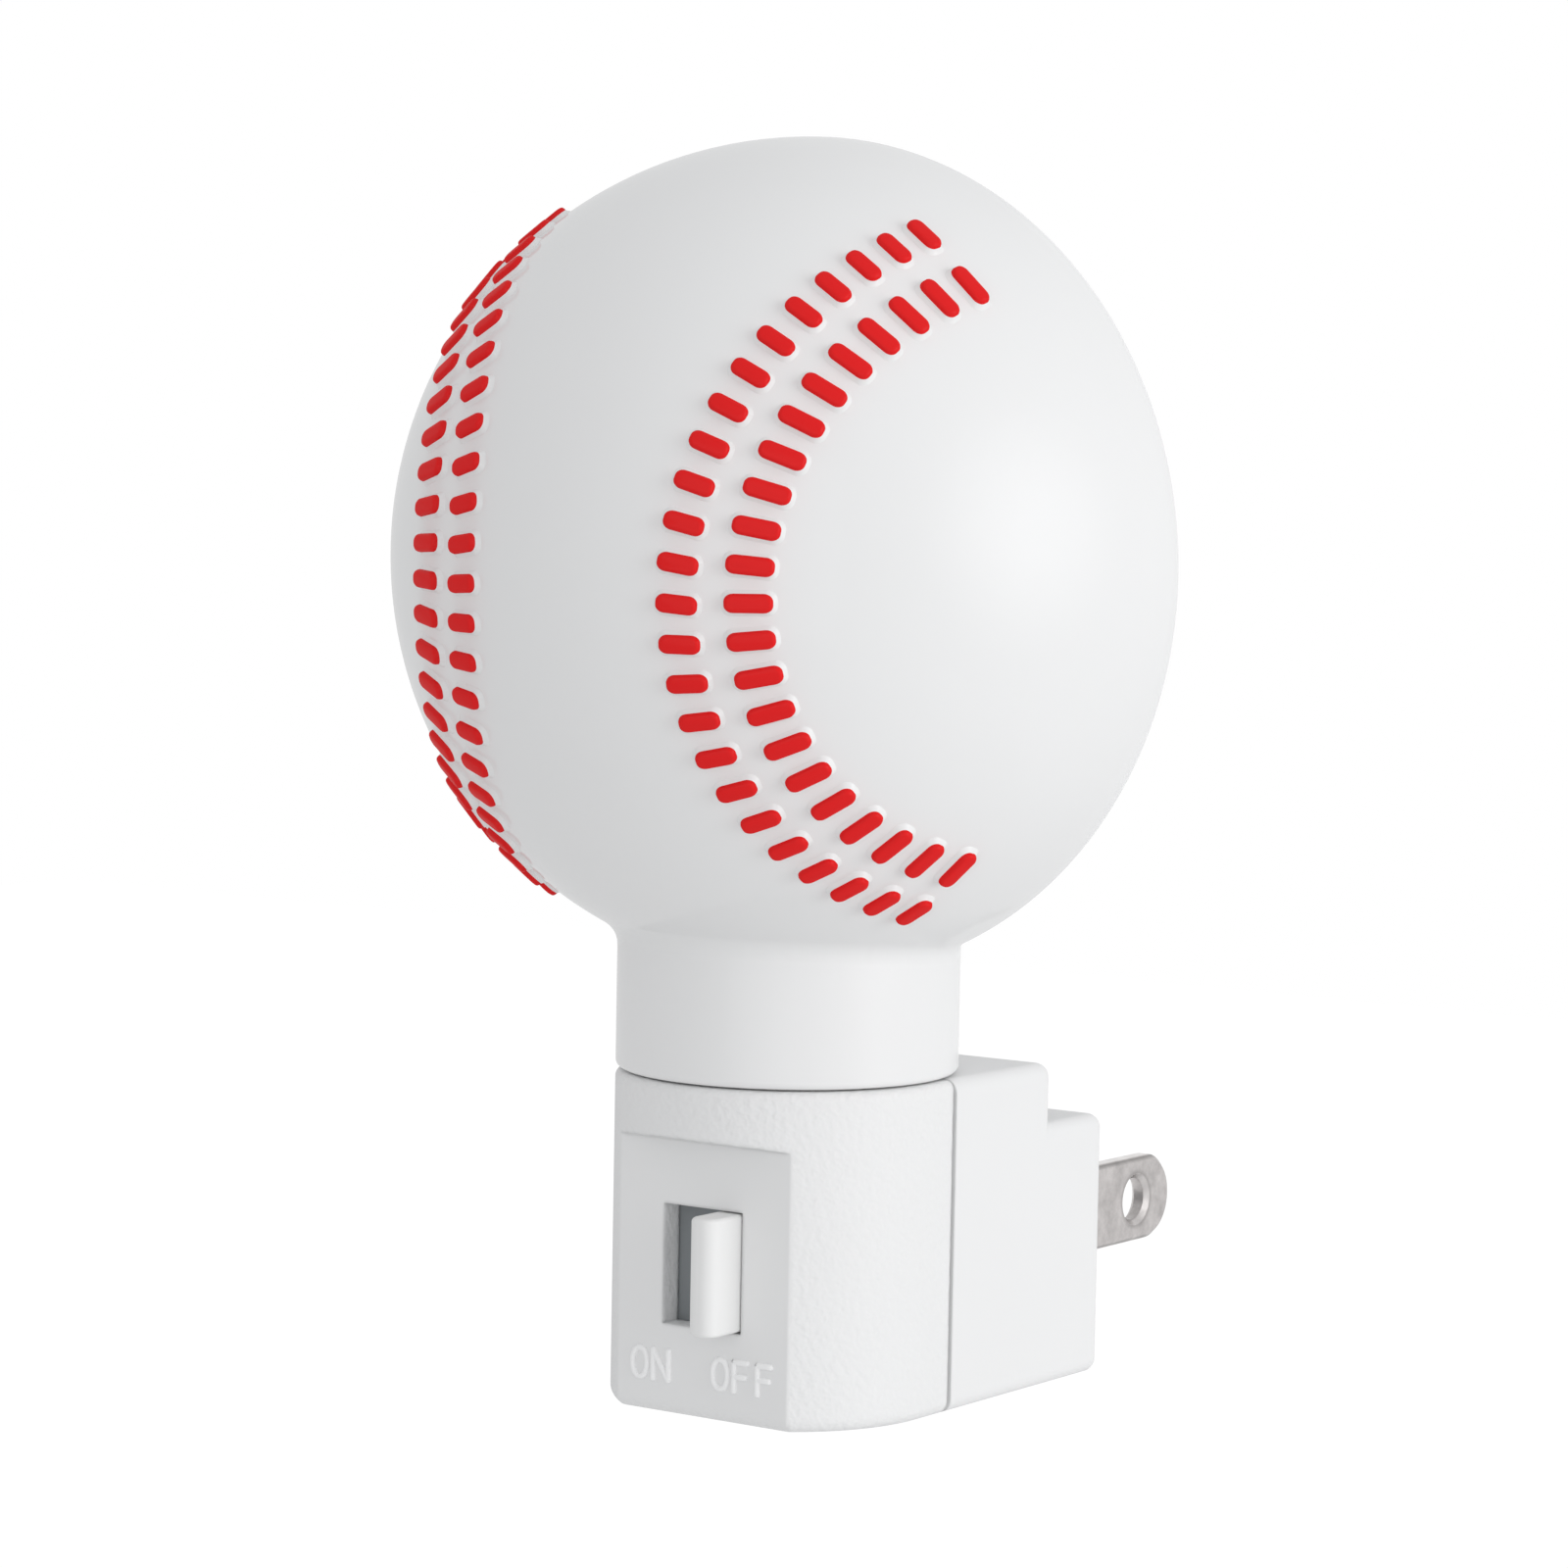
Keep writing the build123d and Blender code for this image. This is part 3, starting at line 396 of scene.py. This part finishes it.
def metal(name, bright, dull, roughness, lie):
    """Sheet metal: cloudy plating, uneven gloss and fine drawn lines along a direction."""
    material = bpy.data.materials.new(name)
    material.use_nodes = True
    nodes, links = material.node_tree.nodes, material.node_tree.links
    shader = nodes["Principled BSDF"]
    shader.inputs["Metallic"].default_value = 1
    place = nodes.new("ShaderNodeTexCoord")
    cloud = nodes.new("ShaderNodeTexNoise")
    cloud.inputs["Scale"].default_value = PATCH_SCALE
    cloud.inputs["Detail"].default_value = PATCH_DETAIL
    cloud.inputs["Roughness"].default_value = PATCH_ROUGHNESS
    tone = nodes.new("ShaderNodeMix")
    tone.data_type = "RGBA"
    tone.inputs["A"].default_value = (*dull, 1)
    tone.inputs["B"].default_value = (*bright, 1)
    spread = nodes.new("ShaderNodeMapRange")
    spread.inputs["From Min"].default_value = PATCH_LEAST
    spread.inputs["From Max"].default_value = PATCH_MOST
    gloss = nodes.new("ShaderNodeMapRange")
    gloss.inputs["To Min"].default_value = roughness * DULL_GLOSS
    gloss.inputs["To Max"].default_value = roughness * BRIGHT_GLOSS
    drawn = nodes.new("ShaderNodeMapping")
    drawn.inputs["Scale"].default_value = lie
    lines = nodes.new("ShaderNodeTexNoise")
    lines.inputs["Scale"].default_value = 1
    lines.inputs["Detail"].default_value = LINE_DETAIL
    bump = nodes.new("ShaderNodeBump")
    bump.inputs["Distance"].default_value = LINE_DEPTH
    links.new(place.outputs["Object"], cloud.inputs["Vector"])
    links.new(place.outputs["Object"], drawn.inputs["Vector"])
    links.new(drawn.outputs["Vector"], lines.inputs["Vector"])
    links.new(cloud.outputs["Fac"], spread.inputs["Value"])
    links.new(spread.outputs["Result"], tone.inputs["Factor"])
    links.new(spread.outputs["Result"], gloss.inputs["Value"])
    links.new(tone.outputs["Result"], shader.inputs["Base Color"])
    links.new(gloss.outputs["Result"], shader.inputs["Roughness"])
    links.new(lines.outputs["Fac"], bump.inputs["Height"])
    links.new(bump.outputs["Normal"], shader.inputs["Normal"])
    return material


def level_along(nodes, links, value, stops):
    """Level that runs through pairs of place and level as a value grows."""
    ramp = nodes.new("ShaderNodeValToRGB")
    steps = ramp.color_ramp.elements
    for step, (place, level) in zip((steps[0], steps[1]), (stops[0], stops[-1])):
        step.position = place
        step.color = (level, level, level, 1)
    for place, level in stops[1:-1]:
        steps.new(place).color = (level, level, level, 1)
    links.new(value, ramp.inputs["Fac"])
    return ramp.outputs["Color"]


ALONG_Y, ALONG_Z = (4000, 250, 4000), (3000, 3000, 250)
HOLE_SETBACK = 4.9 * MM
BLADE_UNIT = 4 * MM
# Colours of the painted highlight and the painted shade on the rim and edges.
RIM_PAINTED_HIGHLIGHT, RIM_PAINTED_SHADE = (0.86, 0.84, 0.83), (0.20, 0.19, 0.185)
# Levels of painted highlight and painted shade by the distance from the hole's middle or the blade's
# middle line, in blade units
HOLE_PAINTED_HIGHLIGHT = ((0, 0), (0.40, 0), (0.42, 0.15), (0.47, 0.15), (0.50, 0))
HOLE_PAINTED_SHADE = ((0, 0.45), (0.39, 0.45), (0.40, 0), (0.48, 0), (0.50, 0.45), (0.58, 0))
EDGE_PAINTED_HIGHLIGHT = ((0, 0), (0.78, 0), (0.79, 0.5))
EDGE_PAINTED_SHADE = ((0, 0), (0.70, 0), (0.76, 0.8), (0.785, 0))
blade_nickel = metal("blade_nickel_plate", NICKEL, NICKEL_DULL, roughness=0.34, lie=ALONG_Y)
hole_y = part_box("blade_left")[1].y - HOLE_SETBACK
nodes, links = blade_nickel.node_tree.nodes, blade_nickel.node_tree.links
blade_place = nodes.new("ShaderNodeTexCoord")
from_hole = nodes.new("ShaderNodeMapping")
from_hole.inputs["Location"].default_value = (0, -hole_y / BLADE_UNIT, 0)
from_hole.inputs["Scale"].default_value = (0, 1 / BLADE_UNIT, 1 / BLADE_UNIT)
hole_distance = nodes.new("ShaderNodeVectorMath")
hole_distance.operation = "LENGTH"
blade_axes = nodes.new("ShaderNodeSeparateXYZ")
edge_distance = nodes.new("ShaderNodeMath")
edge_distance.operation = "ABSOLUTE"
links.new(blade_place.outputs["Object"], from_hole.inputs["Vector"])
links.new(from_hole.outputs["Vector"], hole_distance.inputs[0])
links.new(from_hole.outputs["Vector"], blade_axes.inputs["Vector"])
links.new(blade_axes.outputs["Z"], edge_distance.inputs[0])
plating = nodes["Mix"].outputs["Result"]
# Mixes the painted highlight, then the painted shade, over the plating colour.
for colour, round_hole, along_edge in (
    (RIM_PAINTED_HIGHLIGHT, HOLE_PAINTED_HIGHLIGHT, EDGE_PAINTED_HIGHLIGHT),
    (RIM_PAINTED_SHADE, HOLE_PAINTED_SHADE, EDGE_PAINTED_SHADE),
):
    either = nodes.new("ShaderNodeMath")
    either.operation = "MAXIMUM"
    painted_light = nodes.new("ShaderNodeMix")
    painted_light.data_type = "RGBA"
    painted_light.inputs["B"].default_value = (*colour, 1)
    links.new(level_along(nodes, links, hole_distance.outputs["Value"], round_hole), either.inputs[0])
    links.new(level_along(nodes, links, edge_distance.outputs[0], along_edge), either.inputs[1])
    links.new(either.outputs[0], painted_light.inputs["Factor"])
    links.new(plating, painted_light.inputs["A"])
    plating = painted_light.outputs["Result"]
links.new(plating, nodes["Principled BSDF"].inputs["Base Color"])
for blade in ("blade_left", "blade_right"):
    finish_node(blade, blade_nickel)

# Strips, spring contacts and screw shell: punched and bent from thin brass strip. The two rivets that
# hold the strips to the blades are plated steel.
BRASS, BRASS_DULL = (0.80, 0.58, 0.27), (0.60, 0.41, 0.17)
STEEL, STEEL_DULL = (0.62, 0.62, 0.63), (0.42, 0.42, 0.43)
strip_brass = metal("rolled_brass", BRASS, BRASS_DULL, roughness=0.3, lie=ALONG_Y)
for strip in ("line_strap", "shell_strap", "lamp_contact", "switch_wiper", "screw_shell"):
    finish_node(strip, strip_brass)
rivet_plate = metal("rivet_plate", STEEL, STEEL_DULL, roughness=0.3, lie=ALONG_Z)
finish_node("strap_rivets", rivet_plate)

# Switch slider: a white knob on a slide plate, which closes the slot from behind. The plate is coloured
# dark grey as painted shade, for the unlit inside of the slot. The knob is a little glossier than the
# housing because it is polished by use.
SLIDER_WHITE, PLATE_PAINTED_SHADE_GREY = (0.82, 0.82, 0.815), (0.25, 0.265, 0.275)
PLATE_SETBACK = 1.5 * MM
slider_plastic = plastic(
    "slider_plastic", SLIDER_WHITE, roughness=0.5, shine=0, grain_size=0.7 * MM, grain_depth=0.006 * MM
)
add_coat(slider_plastic, weight=0.2, roughness=0.3)
nodes, links = slider_plastic.node_tree.nodes, slider_plastic.node_tree.links
slider_y = object_axes(nodes, links)["Y"]
# Painted shade: the part behind the panel is coloured dark grey.
painted_shade_plate = nodes.new("ShaderNodeMix")
painted_shade_plate.data_type = "RGBA"
painted_shade_plate.inputs["B"].default_value = (*PLATE_PAINTED_SHADE_GREY, 1)
links.new(ramp_from(nodes, links, slider_y, PANEL_Y + PLATE_SETBACK), painted_shade_plate.inputs["Factor"])
links.new(nodes["Mix"].outputs["Result"], painted_shade_plate.inputs["A"])
links.new(painted_shade_plate.outputs["Result"], nodes["Principled BSDF"].inputs["Base Color"])
finish_node("switch_slider", slider_plastic)

# Lamp holder: a collar and tube moulded in heat-proof white plastic, slightly warmer in tone and
# duller than the housing. Its flange is clamped between the housing halves.
HOLDER_WHITE = (0.76, 0.75, 0.71)
holder_plastic = plastic(
    "holder_plastic", HOLDER_WHITE, roughness=0.6, shine=0.4, grain_size=0.6 * MM, grain_depth=0.02 * MM
)
finish_node("lamp_holder", holder_plastic)

# Lamp cap: a thin brass shell with a rolled round thread, crimped to the glass. Its thread is swept
# as a helix on the cap's own radius and trimmed level at both ends.
THREAD_PITCH = 2.54 * MM
THREAD_DEPTH = 0.45 * MM
CAP_WALL = 0.3 * MM
THREAD_STEPS = 12
THREAD_TURN_STEPS = 48
THREAD_MERGE = 0.005 * MM
SPARE_TURNS = 3
cap_low, cap_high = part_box("bulb_cap")
crest_radius = cap_high.x
thread_turns = int((cap_high.z - cap_low.z) / THREAD_PITCH) + SPARE_TURNS
bpy.ops.object.select_all(action="DESELECT")
bpy.ops.mesh.primitive_plane_add(size=crest_radius, location=(0, LAMP_Y, 0))
lamp_cap = bpy.context.object
lamp_cap.name = "lamp_cap"
bpy.ops.object.mode_set(mode="EDIT")
bpy.ops.mesh.merge(type="CENTER")
bpy.ops.transform.translate(value=(crest_radius, 0, cap_low.z - THREAD_PITCH))
for step in range(THREAD_STEPS):
    start_turn, end_turn = 2 * pi * step / THREAD_STEPS, 2 * pi * (step + 1) / THREAD_STEPS
    outward = (cos(end_turn) - cos(start_turn)) * THREAD_DEPTH / 2
    move = {"value": (outward, 0, THREAD_PITCH / THREAD_STEPS)}
    bpy.ops.mesh.extrude_region_move(TRANSFORM_OT_translate=move)
bpy.ops.object.mode_set(mode="OBJECT")
apply_modifier(
    lamp_cap,
    "SCREW",
    screw_offset=THREAD_PITCH,
    iterations=thread_turns,
    steps=THREAD_TURN_STEPS,
    render_steps=THREAD_TURN_STEPS,
)
bpy.ops.object.transform_apply(location=True)
bpy.ops.object.mode_set(mode="EDIT")
bpy.ops.mesh.select_all(action="SELECT")
bpy.ops.mesh.remove_doubles(threshold=THREAD_MERGE)
for end_z, way in ((cap_low.z, -1), (cap_high.z, 1)):
    bpy.ops.mesh.select_all(action="SELECT")
    bpy.ops.mesh.bisect(plane_co=(0, 0, end_z), plane_no=(0, 0, way), clear_outer=True)
bpy.ops.mesh.select_all(action="SELECT")
bpy.ops.mesh.normals_make_consistent(inside=False)
bpy.ops.object.mode_set(mode="OBJECT")
apply_modifier(lamp_cap, "SOLIDIFY", thickness=CAP_WALL, offset=-1)
smooth(lamp_cap, angle=radians(50))
cap_brass = metal("cap_brass_plate", BRASS, BRASS_DULL, roughness=0.26, lie=ALONG_Z)
lamp_cap.data.materials.append(cap_brass)
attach(lamp_cap, "bulb")
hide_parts("bulb_cap")

# Lamp foot: a cone of dark glass, moulded into the bottom of the cap, with a drop of solder at its
# tip that closes the lead wire and rests on the contact leaf.
SOLDER, SOLDER_DULL = (0.66, 0.66, 0.64), (0.45, 0.45, 0.44)
FOOT_GLASS = (0.02, 0.018, 0.022)
solder_drop = metal("solder_drop", SOLDER, SOLDER_DULL, roughness=0.38, lie=ALONG_Z)
foot_glass = plastic(
    "foot_glass", FOOT_GLASS, roughness=0.12, shine=0.5, grain_size=2 * MM, grain_depth=0.01 * MM
)
finish_node("bulb_tip", solder_drop)
finish_node("bulb_insulator", foot_glass)

# Lamp glass and its inside: a clear blown envelope, a pressed glass stem, two nickel wires and an
# arched tungsten filament. The glass is very slightly wavy, as blown glass is.
GLASS_TINT = (0.97, 0.99, 0.98)
GLASS_IOR = 1.5
WIRE, WIRE_DULL = (0.40, 0.39, 0.38), (0.24, 0.23, 0.22)
lamp_glass = plastic(
    "blown_glass", GLASS_TINT, roughness=0.03, shine=0.5, grain_size=6 * MM, grain_depth=0.02 * MM
)
glass_shader = lamp_glass.node_tree.nodes["Principled BSDF"]
glass_shader.inputs["Transmission Weight"].default_value = 1
glass_shader.inputs["IOR"].default_value = GLASS_IOR
for glass in ("bulb_envelope", "bulb_stem"):
    finish_node(glass, lamp_glass)
lead_wire = metal("lead_wire_metal", WIRE, WIRE_DULL, roughness=0.4, lie=ALONG_Z)
for wire in ("bulb_leads", "bulb_filament"):
    finish_node(wire, lead_wire)

# Shade: a blown ball of glossy white plastic on a straight neck, flattened at the back where it
# comes near the wall. Its neck slips over the collar of the lamp holder.
SHADE_WHITE = (0.82, 0.82, 0.82)
BACK_ROUND = 4.5 * MM
BACK_TILT = radians(2.2)
SHADE_WALL = 1.2 * MM
NECK_BLEND = 1.7 * MM
FOOT_ROUND, FOOT_STEPS = 0.5 * MM, 5
SEAT_GAP = 0.14 * MM
RING_MERGE = 0.12 * MM
BALL_SLOPE = radians(27)
STEEPEST_SLOPE = radians(74)
TURN_STEPS = 192
BLEND_STEPS = 6
TOUCH = 0.01 * MM
shade_low, shade_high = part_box("shade_globe")
BALL_RADIUS = shade_high.x
BALL_CENTRE = Vector((0, shade_low.y + BALL_RADIUS, shade_high.z - BALL_RADIUS))
BACK_DEPTH = shade_high.y - BALL_CENTRE.y
FOOT_Z = housing_high.z + SEAT_GAP


def from_lamp_axis(point):
    """Distance of a point from the upright axis of the lamp."""
    return hypot(point.x, point.y - LAMP_Y)


def bearing(point):
    """Level direction from the lamp's axis to a point."""
    return Vector((point.x, point.y - LAMP_Y, 0)).normalized()


def draw_arc(centre, angle, steps):
    """Spins the selected point about a left-right axis, which leaves a row of points behind."""
    bpy.ops.mesh.spin(steps=steps, angle=angle, center=centre, axis=(1, 0, 0))


def pick(piece, kind, rule):
    """Selects the faces or edges of a piece whose points all follow a rule, in edit mode."""
    bpy.ops.object.mode_set(mode="EDIT")
    bpy.ops.mesh.select_mode(type=kind)
    bpy.ops.mesh.select_all(action="DESELECT")
    bpy.ops.object.mode_set(mode="OBJECT")
    points = piece.data.vertices
    for item in piece.data.edges if kind == "EDGE" else piece.data.polygons:
        item.select = all(rule(points[index].co) for index in item.vertices)
    bpy.ops.object.mode_set(mode="EDIT")


def in_neck(point):
    """Whether a point lies in the round opening that is cut for the neck."""
    return from_lamp_axis(point) < opening_radius + TOUCH and point.z < BALL_CENTRE.z + TOUCH


def on_outer_foot(point):
    """Whether a point lies on the outer edge of the neck's foot."""
    return point.z < FOOT_Z + TOUCH and from_lamp_axis(point) > NECK_RADIUS - SHADE_WALL / 2


rim_middle = BALL_RADIUS - BACK_ROUND
crown_depth = BACK_DEPTH - BACK_ROUND
crown_shift = (rim_middle**2 - crown_depth**2) / (2 * crown_depth)
crown_sweep = atan2(rim_middle, crown_shift)
bpy.ops.object.select_all(action="DESELECT")
bpy.ops.mesh.primitive_plane_add(size=BALL_RADIUS)
shade = bpy.context.object
shade.name = "shade"
bpy.ops.object.mode_set(mode="EDIT")
bpy.ops.mesh.merge(type="CENTER")
bpy.ops.transform.translate(value=BALL_CENTRE - Vector((0, BALL_RADIUS, 0)))
draw_arc(BALL_CENTRE, pi / 2, TURN_STEPS // 4)
draw_arc(BALL_CENTRE + Vector((0, 0, rim_middle)), pi / 2 - crown_sweep, TURN_STEPS // 16)
draw_arc(BALL_CENTRE - Vector((0, crown_shift, 0)), crown_sweep, TURN_STEPS // 6)
bpy.ops.mesh.select_all(action="SELECT")
bpy.ops.mesh.spin(steps=TURN_STEPS, angle=2 * pi, center=BALL_CENTRE, axis=(0, 1, 0))
bpy.ops.mesh.select_all(action="SELECT")
bpy.ops.mesh.remove_doubles(threshold=TOUCH)
bpy.ops.mesh.normals_make_consistent(inside=False)
bpy.ops.object.mode_set(mode="OBJECT")
leaning = Matrix.Translation(BALL_CENTRE) @ Matrix.Rotation(BACK_TILT, 4, "X")
shade.data.transform(leaning @ Matrix.Translation(-BALL_CENTRE))

opening_radius = NECK_RADIUS + NECK_BLEND * (1 - sin(BALL_SLOPE))
bpy.ops.object.select_all(action="DESELECT")
bpy.ops.mesh.primitive_cylinder_add(
    vertices=TURN_STEPS,
    radius=opening_radius,
    depth=BALL_CENTRE.z,
    location=(0, LAMP_Y, BALL_CENTRE.z / 2),
)
neck_cutter = bpy.context.object
apply_modifier(shade, "BOOLEAN", operation="DIFFERENCE", solver="EXACT", object=neck_cutter)
bpy.data.objects.remove(neck_cutter)
pick(shade, "FACE", in_neck)
bpy.ops.mesh.delete(type="FACE")
bpy.ops.mesh.select_mode(type="EDGE")
bpy.ops.mesh.select_non_manifold(
    extend=False, use_wire=False, use_multi_face=False, use_non_contiguous=False, use_verts=False
)
bpy.ops.mesh.remove_doubles(threshold=RING_MERGE)
bpy.ops.object.mode_set(mode="OBJECT")
blend_starts = []
for point in shade.data.vertices:
    if point.select:
        outward = bearing(point.co)
        slope = min(atan2(point.normal.dot(outward), -point.normal.z), STEEPEST_SLOPE)
        blend_starts.append((outward, point.co.z, slope))
for step in range(1, BLEND_STEPS + 1):
    bpy.ops.object.mode_set(mode="EDIT")
    bpy.ops.mesh.extrude_edges_move(TRANSFORM_OT_translate={"value": (0, 0, 0)})
    bpy.ops.object.mode_set(mode="OBJECT")
    for point in shade.data.vertices:
        if point.select:
            towards = bearing(point.co)
            outward, start_z, slope = max(blend_starts, key=lambda start: start[0].dot(towards))
            blend = (opening_radius - NECK_RADIUS) / (1 - sin(slope))
            next_slope = slope + (pi / 2 - slope) * step / BLEND_STEPS
            point.co = outward * (NECK_RADIUS + blend * (1 - sin(next_slope)))
            point.co += Vector((0, LAMP_Y, start_z - blend * (cos(slope) - cos(next_slope))))
bpy.ops.object.mode_set(mode="EDIT")
bpy.ops.mesh.extrude_edges_move(TRANSFORM_OT_translate={"value": (0, 0, -NECK_BLEND)})
bpy.ops.transform.resize(value=(1, 1, 0), center_override=(0, LAMP_Y, FOOT_Z))
bpy.ops.mesh.select_all(action="SELECT")
bpy.ops.mesh.normals_make_consistent(inside=False)
bpy.ops.object.mode_set(mode="OBJECT")
apply_modifier(shade, "SOLIDIFY", thickness=SHADE_WALL, offset=-1)
pick(shade, "EDGE", on_outer_foot)
bpy.ops.mesh.bevel(offset=FOOT_ROUND, segments=FOOT_STEPS, affect="EDGES")
bpy.ops.object.mode_set(mode="OBJECT")
smooth(shade, angle=radians(40))
shade_plastic = plastic(
    "shade_plastic", SHADE_WHITE, roughness=0.6, shine=0, grain_size=1.2 * MM, grain_depth=0.004 * MM
)
add_coat(shade_plastic, weight=0.4, roughness=0.08)
shade.data.materials.append(shade_plastic)
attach(shade, "shade")
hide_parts("shade_globe")

# Stitches: low pads blown with the shade, in two rows along each seam. Their feet are white and run
# softly into the ball, and their rounded tops are printed in red ink.
STITCH_RED = (0.74, 0.015, 0.016)
SLANT_SHARE = 0.75
STITCH_WIDTH = 1.8 * MM
STITCH_CORNER, CORNER_STEPS = 0.72 * MM, 6
STITCH_HEIGHT = 0.62 * MM
STITCH_MARGIN = 0.28 * MM
STITCH_SINK = 0.1 * MM
WHITE_RISES = ((0.45, 0.1), (0.8, 0.26), (1.0, 0.42))
RED_RISES = ((1.07, 0.65), (1.25, 0.85), (1.55, 0.96), (2.0, 1.0))
INNER_ROW = {
    "side": 71.6,
    "pinch": 18.05,
    "lean": 6,
    "reach": 61.3,
    "spread": 4,
    "count": 24,
    "length": 3.34 * MM,
}
OUTER_ROW = {
    "side": 62.4,
    "pinch": 19,
    "lean": 1,
    "reach": 55.6,
    "spread": 5.8,
    "count": 22,
    "length": 3.74 * MM,
}
SEAMS = (
    {"name": "stitches_left", "hand": -1, "drop": 0.9, "middle": -0.8, "turn": 2.7},
    {"name": "stitches_right", "hand": 1, "drop": -6.7, "middle": -2.5, "turn": 0},
)


def stitch_frame(seam, row, index):
    """Place of one stitch on the ball: its middle, its own direction and the way out.

    The angles of seams and rows are in degrees.
    """
    share = 2 * index / (row["count"] - 1) - 1
    turn = radians(seam["middle"] + row["reach"] * share + row["spread"] * share**3)
    bend = turn - radians(seam["drop"])
    pinch = radians(row["pinch"])
    side = radians(row["side"] + seam["turn"]) - pinch * sin(bend) ** 2
    lean = atan2(-SLANT_SHARE * pinch * sin(2 * bend), sin(side)) - radians(row["lean"])
    out = Vector((cos(side), -cos(turn) * sin(side), sin(turn) * sin(side)))
    to_side = Vector((sin(side), cos(turn) * cos(side), -sin(turn) * cos(side)))
    along = to_side * cos(lean) + out.cross(to_side) * sin(lean)
    out.x *= seam["hand"]
    along.x *= seam["hand"]
    turned = Matrix((along, out.cross(along), out)).transposed().to_4x4()
    return Matrix.Translation(BALL_CENTRE + out * BALL_RADIUS) @ turned


def stitch_pad(length):
    """One pad, modelled flat: a rounded oblong that rises in soft steps to its printed top."""
    bpy.ops.object.select_all(action="DESELECT")
    bpy.ops.mesh.primitive_plane_add(size=1)
    pad = bpy.context.object
    pad.dimensions = (length, STITCH_WIDTH, 0)
    pad.location.z = -STITCH_SINK
    bpy.ops.object.transform_apply(location=True, scale=True)
    bpy.ops.object.mode_set(mode="EDIT")
    bpy.ops.mesh.select_all(action="SELECT")
    bpy.ops.mesh.bevel(offset=STITCH_CORNER, segments=CORNER_STEPS, affect="VERTICES")
    bpy.ops.mesh.select_all(action="SELECT")
    drawn_in, risen = 0, -STITCH_SINK
    for margin_share, height_share in WHITE_RISES + RED_RISES:
        next_in, next_height = STITCH_MARGIN * margin_share, STITCH_HEIGHT * height_share
        bpy.ops.mesh.extrude_region_move(TRANSFORM_OT_translate={"value": (0, 0, next_height - risen)})
        long_share = (length - 2 * next_in) / (length - 2 * drawn_in)
        wide_share = (STITCH_WIDTH - 2 * next_in) / (STITCH_WIDTH - 2 * drawn_in)
        bpy.ops.transform.resize(value=(long_share, wide_share, 1), center_override=(0, 0, 0))
        drawn_in, risen = next_in, next_height
    bpy.ops.mesh.select_all(action="SELECT")
    bpy.ops.mesh.normals_make_consistent(inside=False)
    bpy.ops.object.mode_set(mode="OBJECT")
    pad.data.materials.append(shade_plastic)
    pad.data.materials.append(stitch_ink)
    ink_from = STITCH_HEIGHT * WHITE_RISES[-1][1]
    for face in pad.data.polygons:
        face.material_index = int(face.center.z > ink_from)
    return pad


stitch_ink = plastic(
    "stitch_ink", STITCH_RED, roughness=0.6, shine=0, grain_size=0.5 * MM, grain_depth=0.004 * MM
)
add_coat(stitch_ink, weight=0.15, roughness=0.03)
for seam in SEAMS:
    copies = []
    for row in (INNER_ROW, OUTER_ROW):
        pad = stitch_pad(row["length"])
        for index in range(row["count"]):
            copy = pad.copy()
            copy.data = pad.data.copy()
            copy.data.transform(stitch_frame(seam, row, index))
            bpy.context.collection.objects.link(copy)
            copies.append(copy)
        bpy.data.objects.remove(pad)
    rows_of_pads = joined(copies, seam["name"] + "_pads")
    smooth(rows_of_pads, angle=radians(60))
    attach(rows_of_pads, "shade")
    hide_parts(seam["name"])
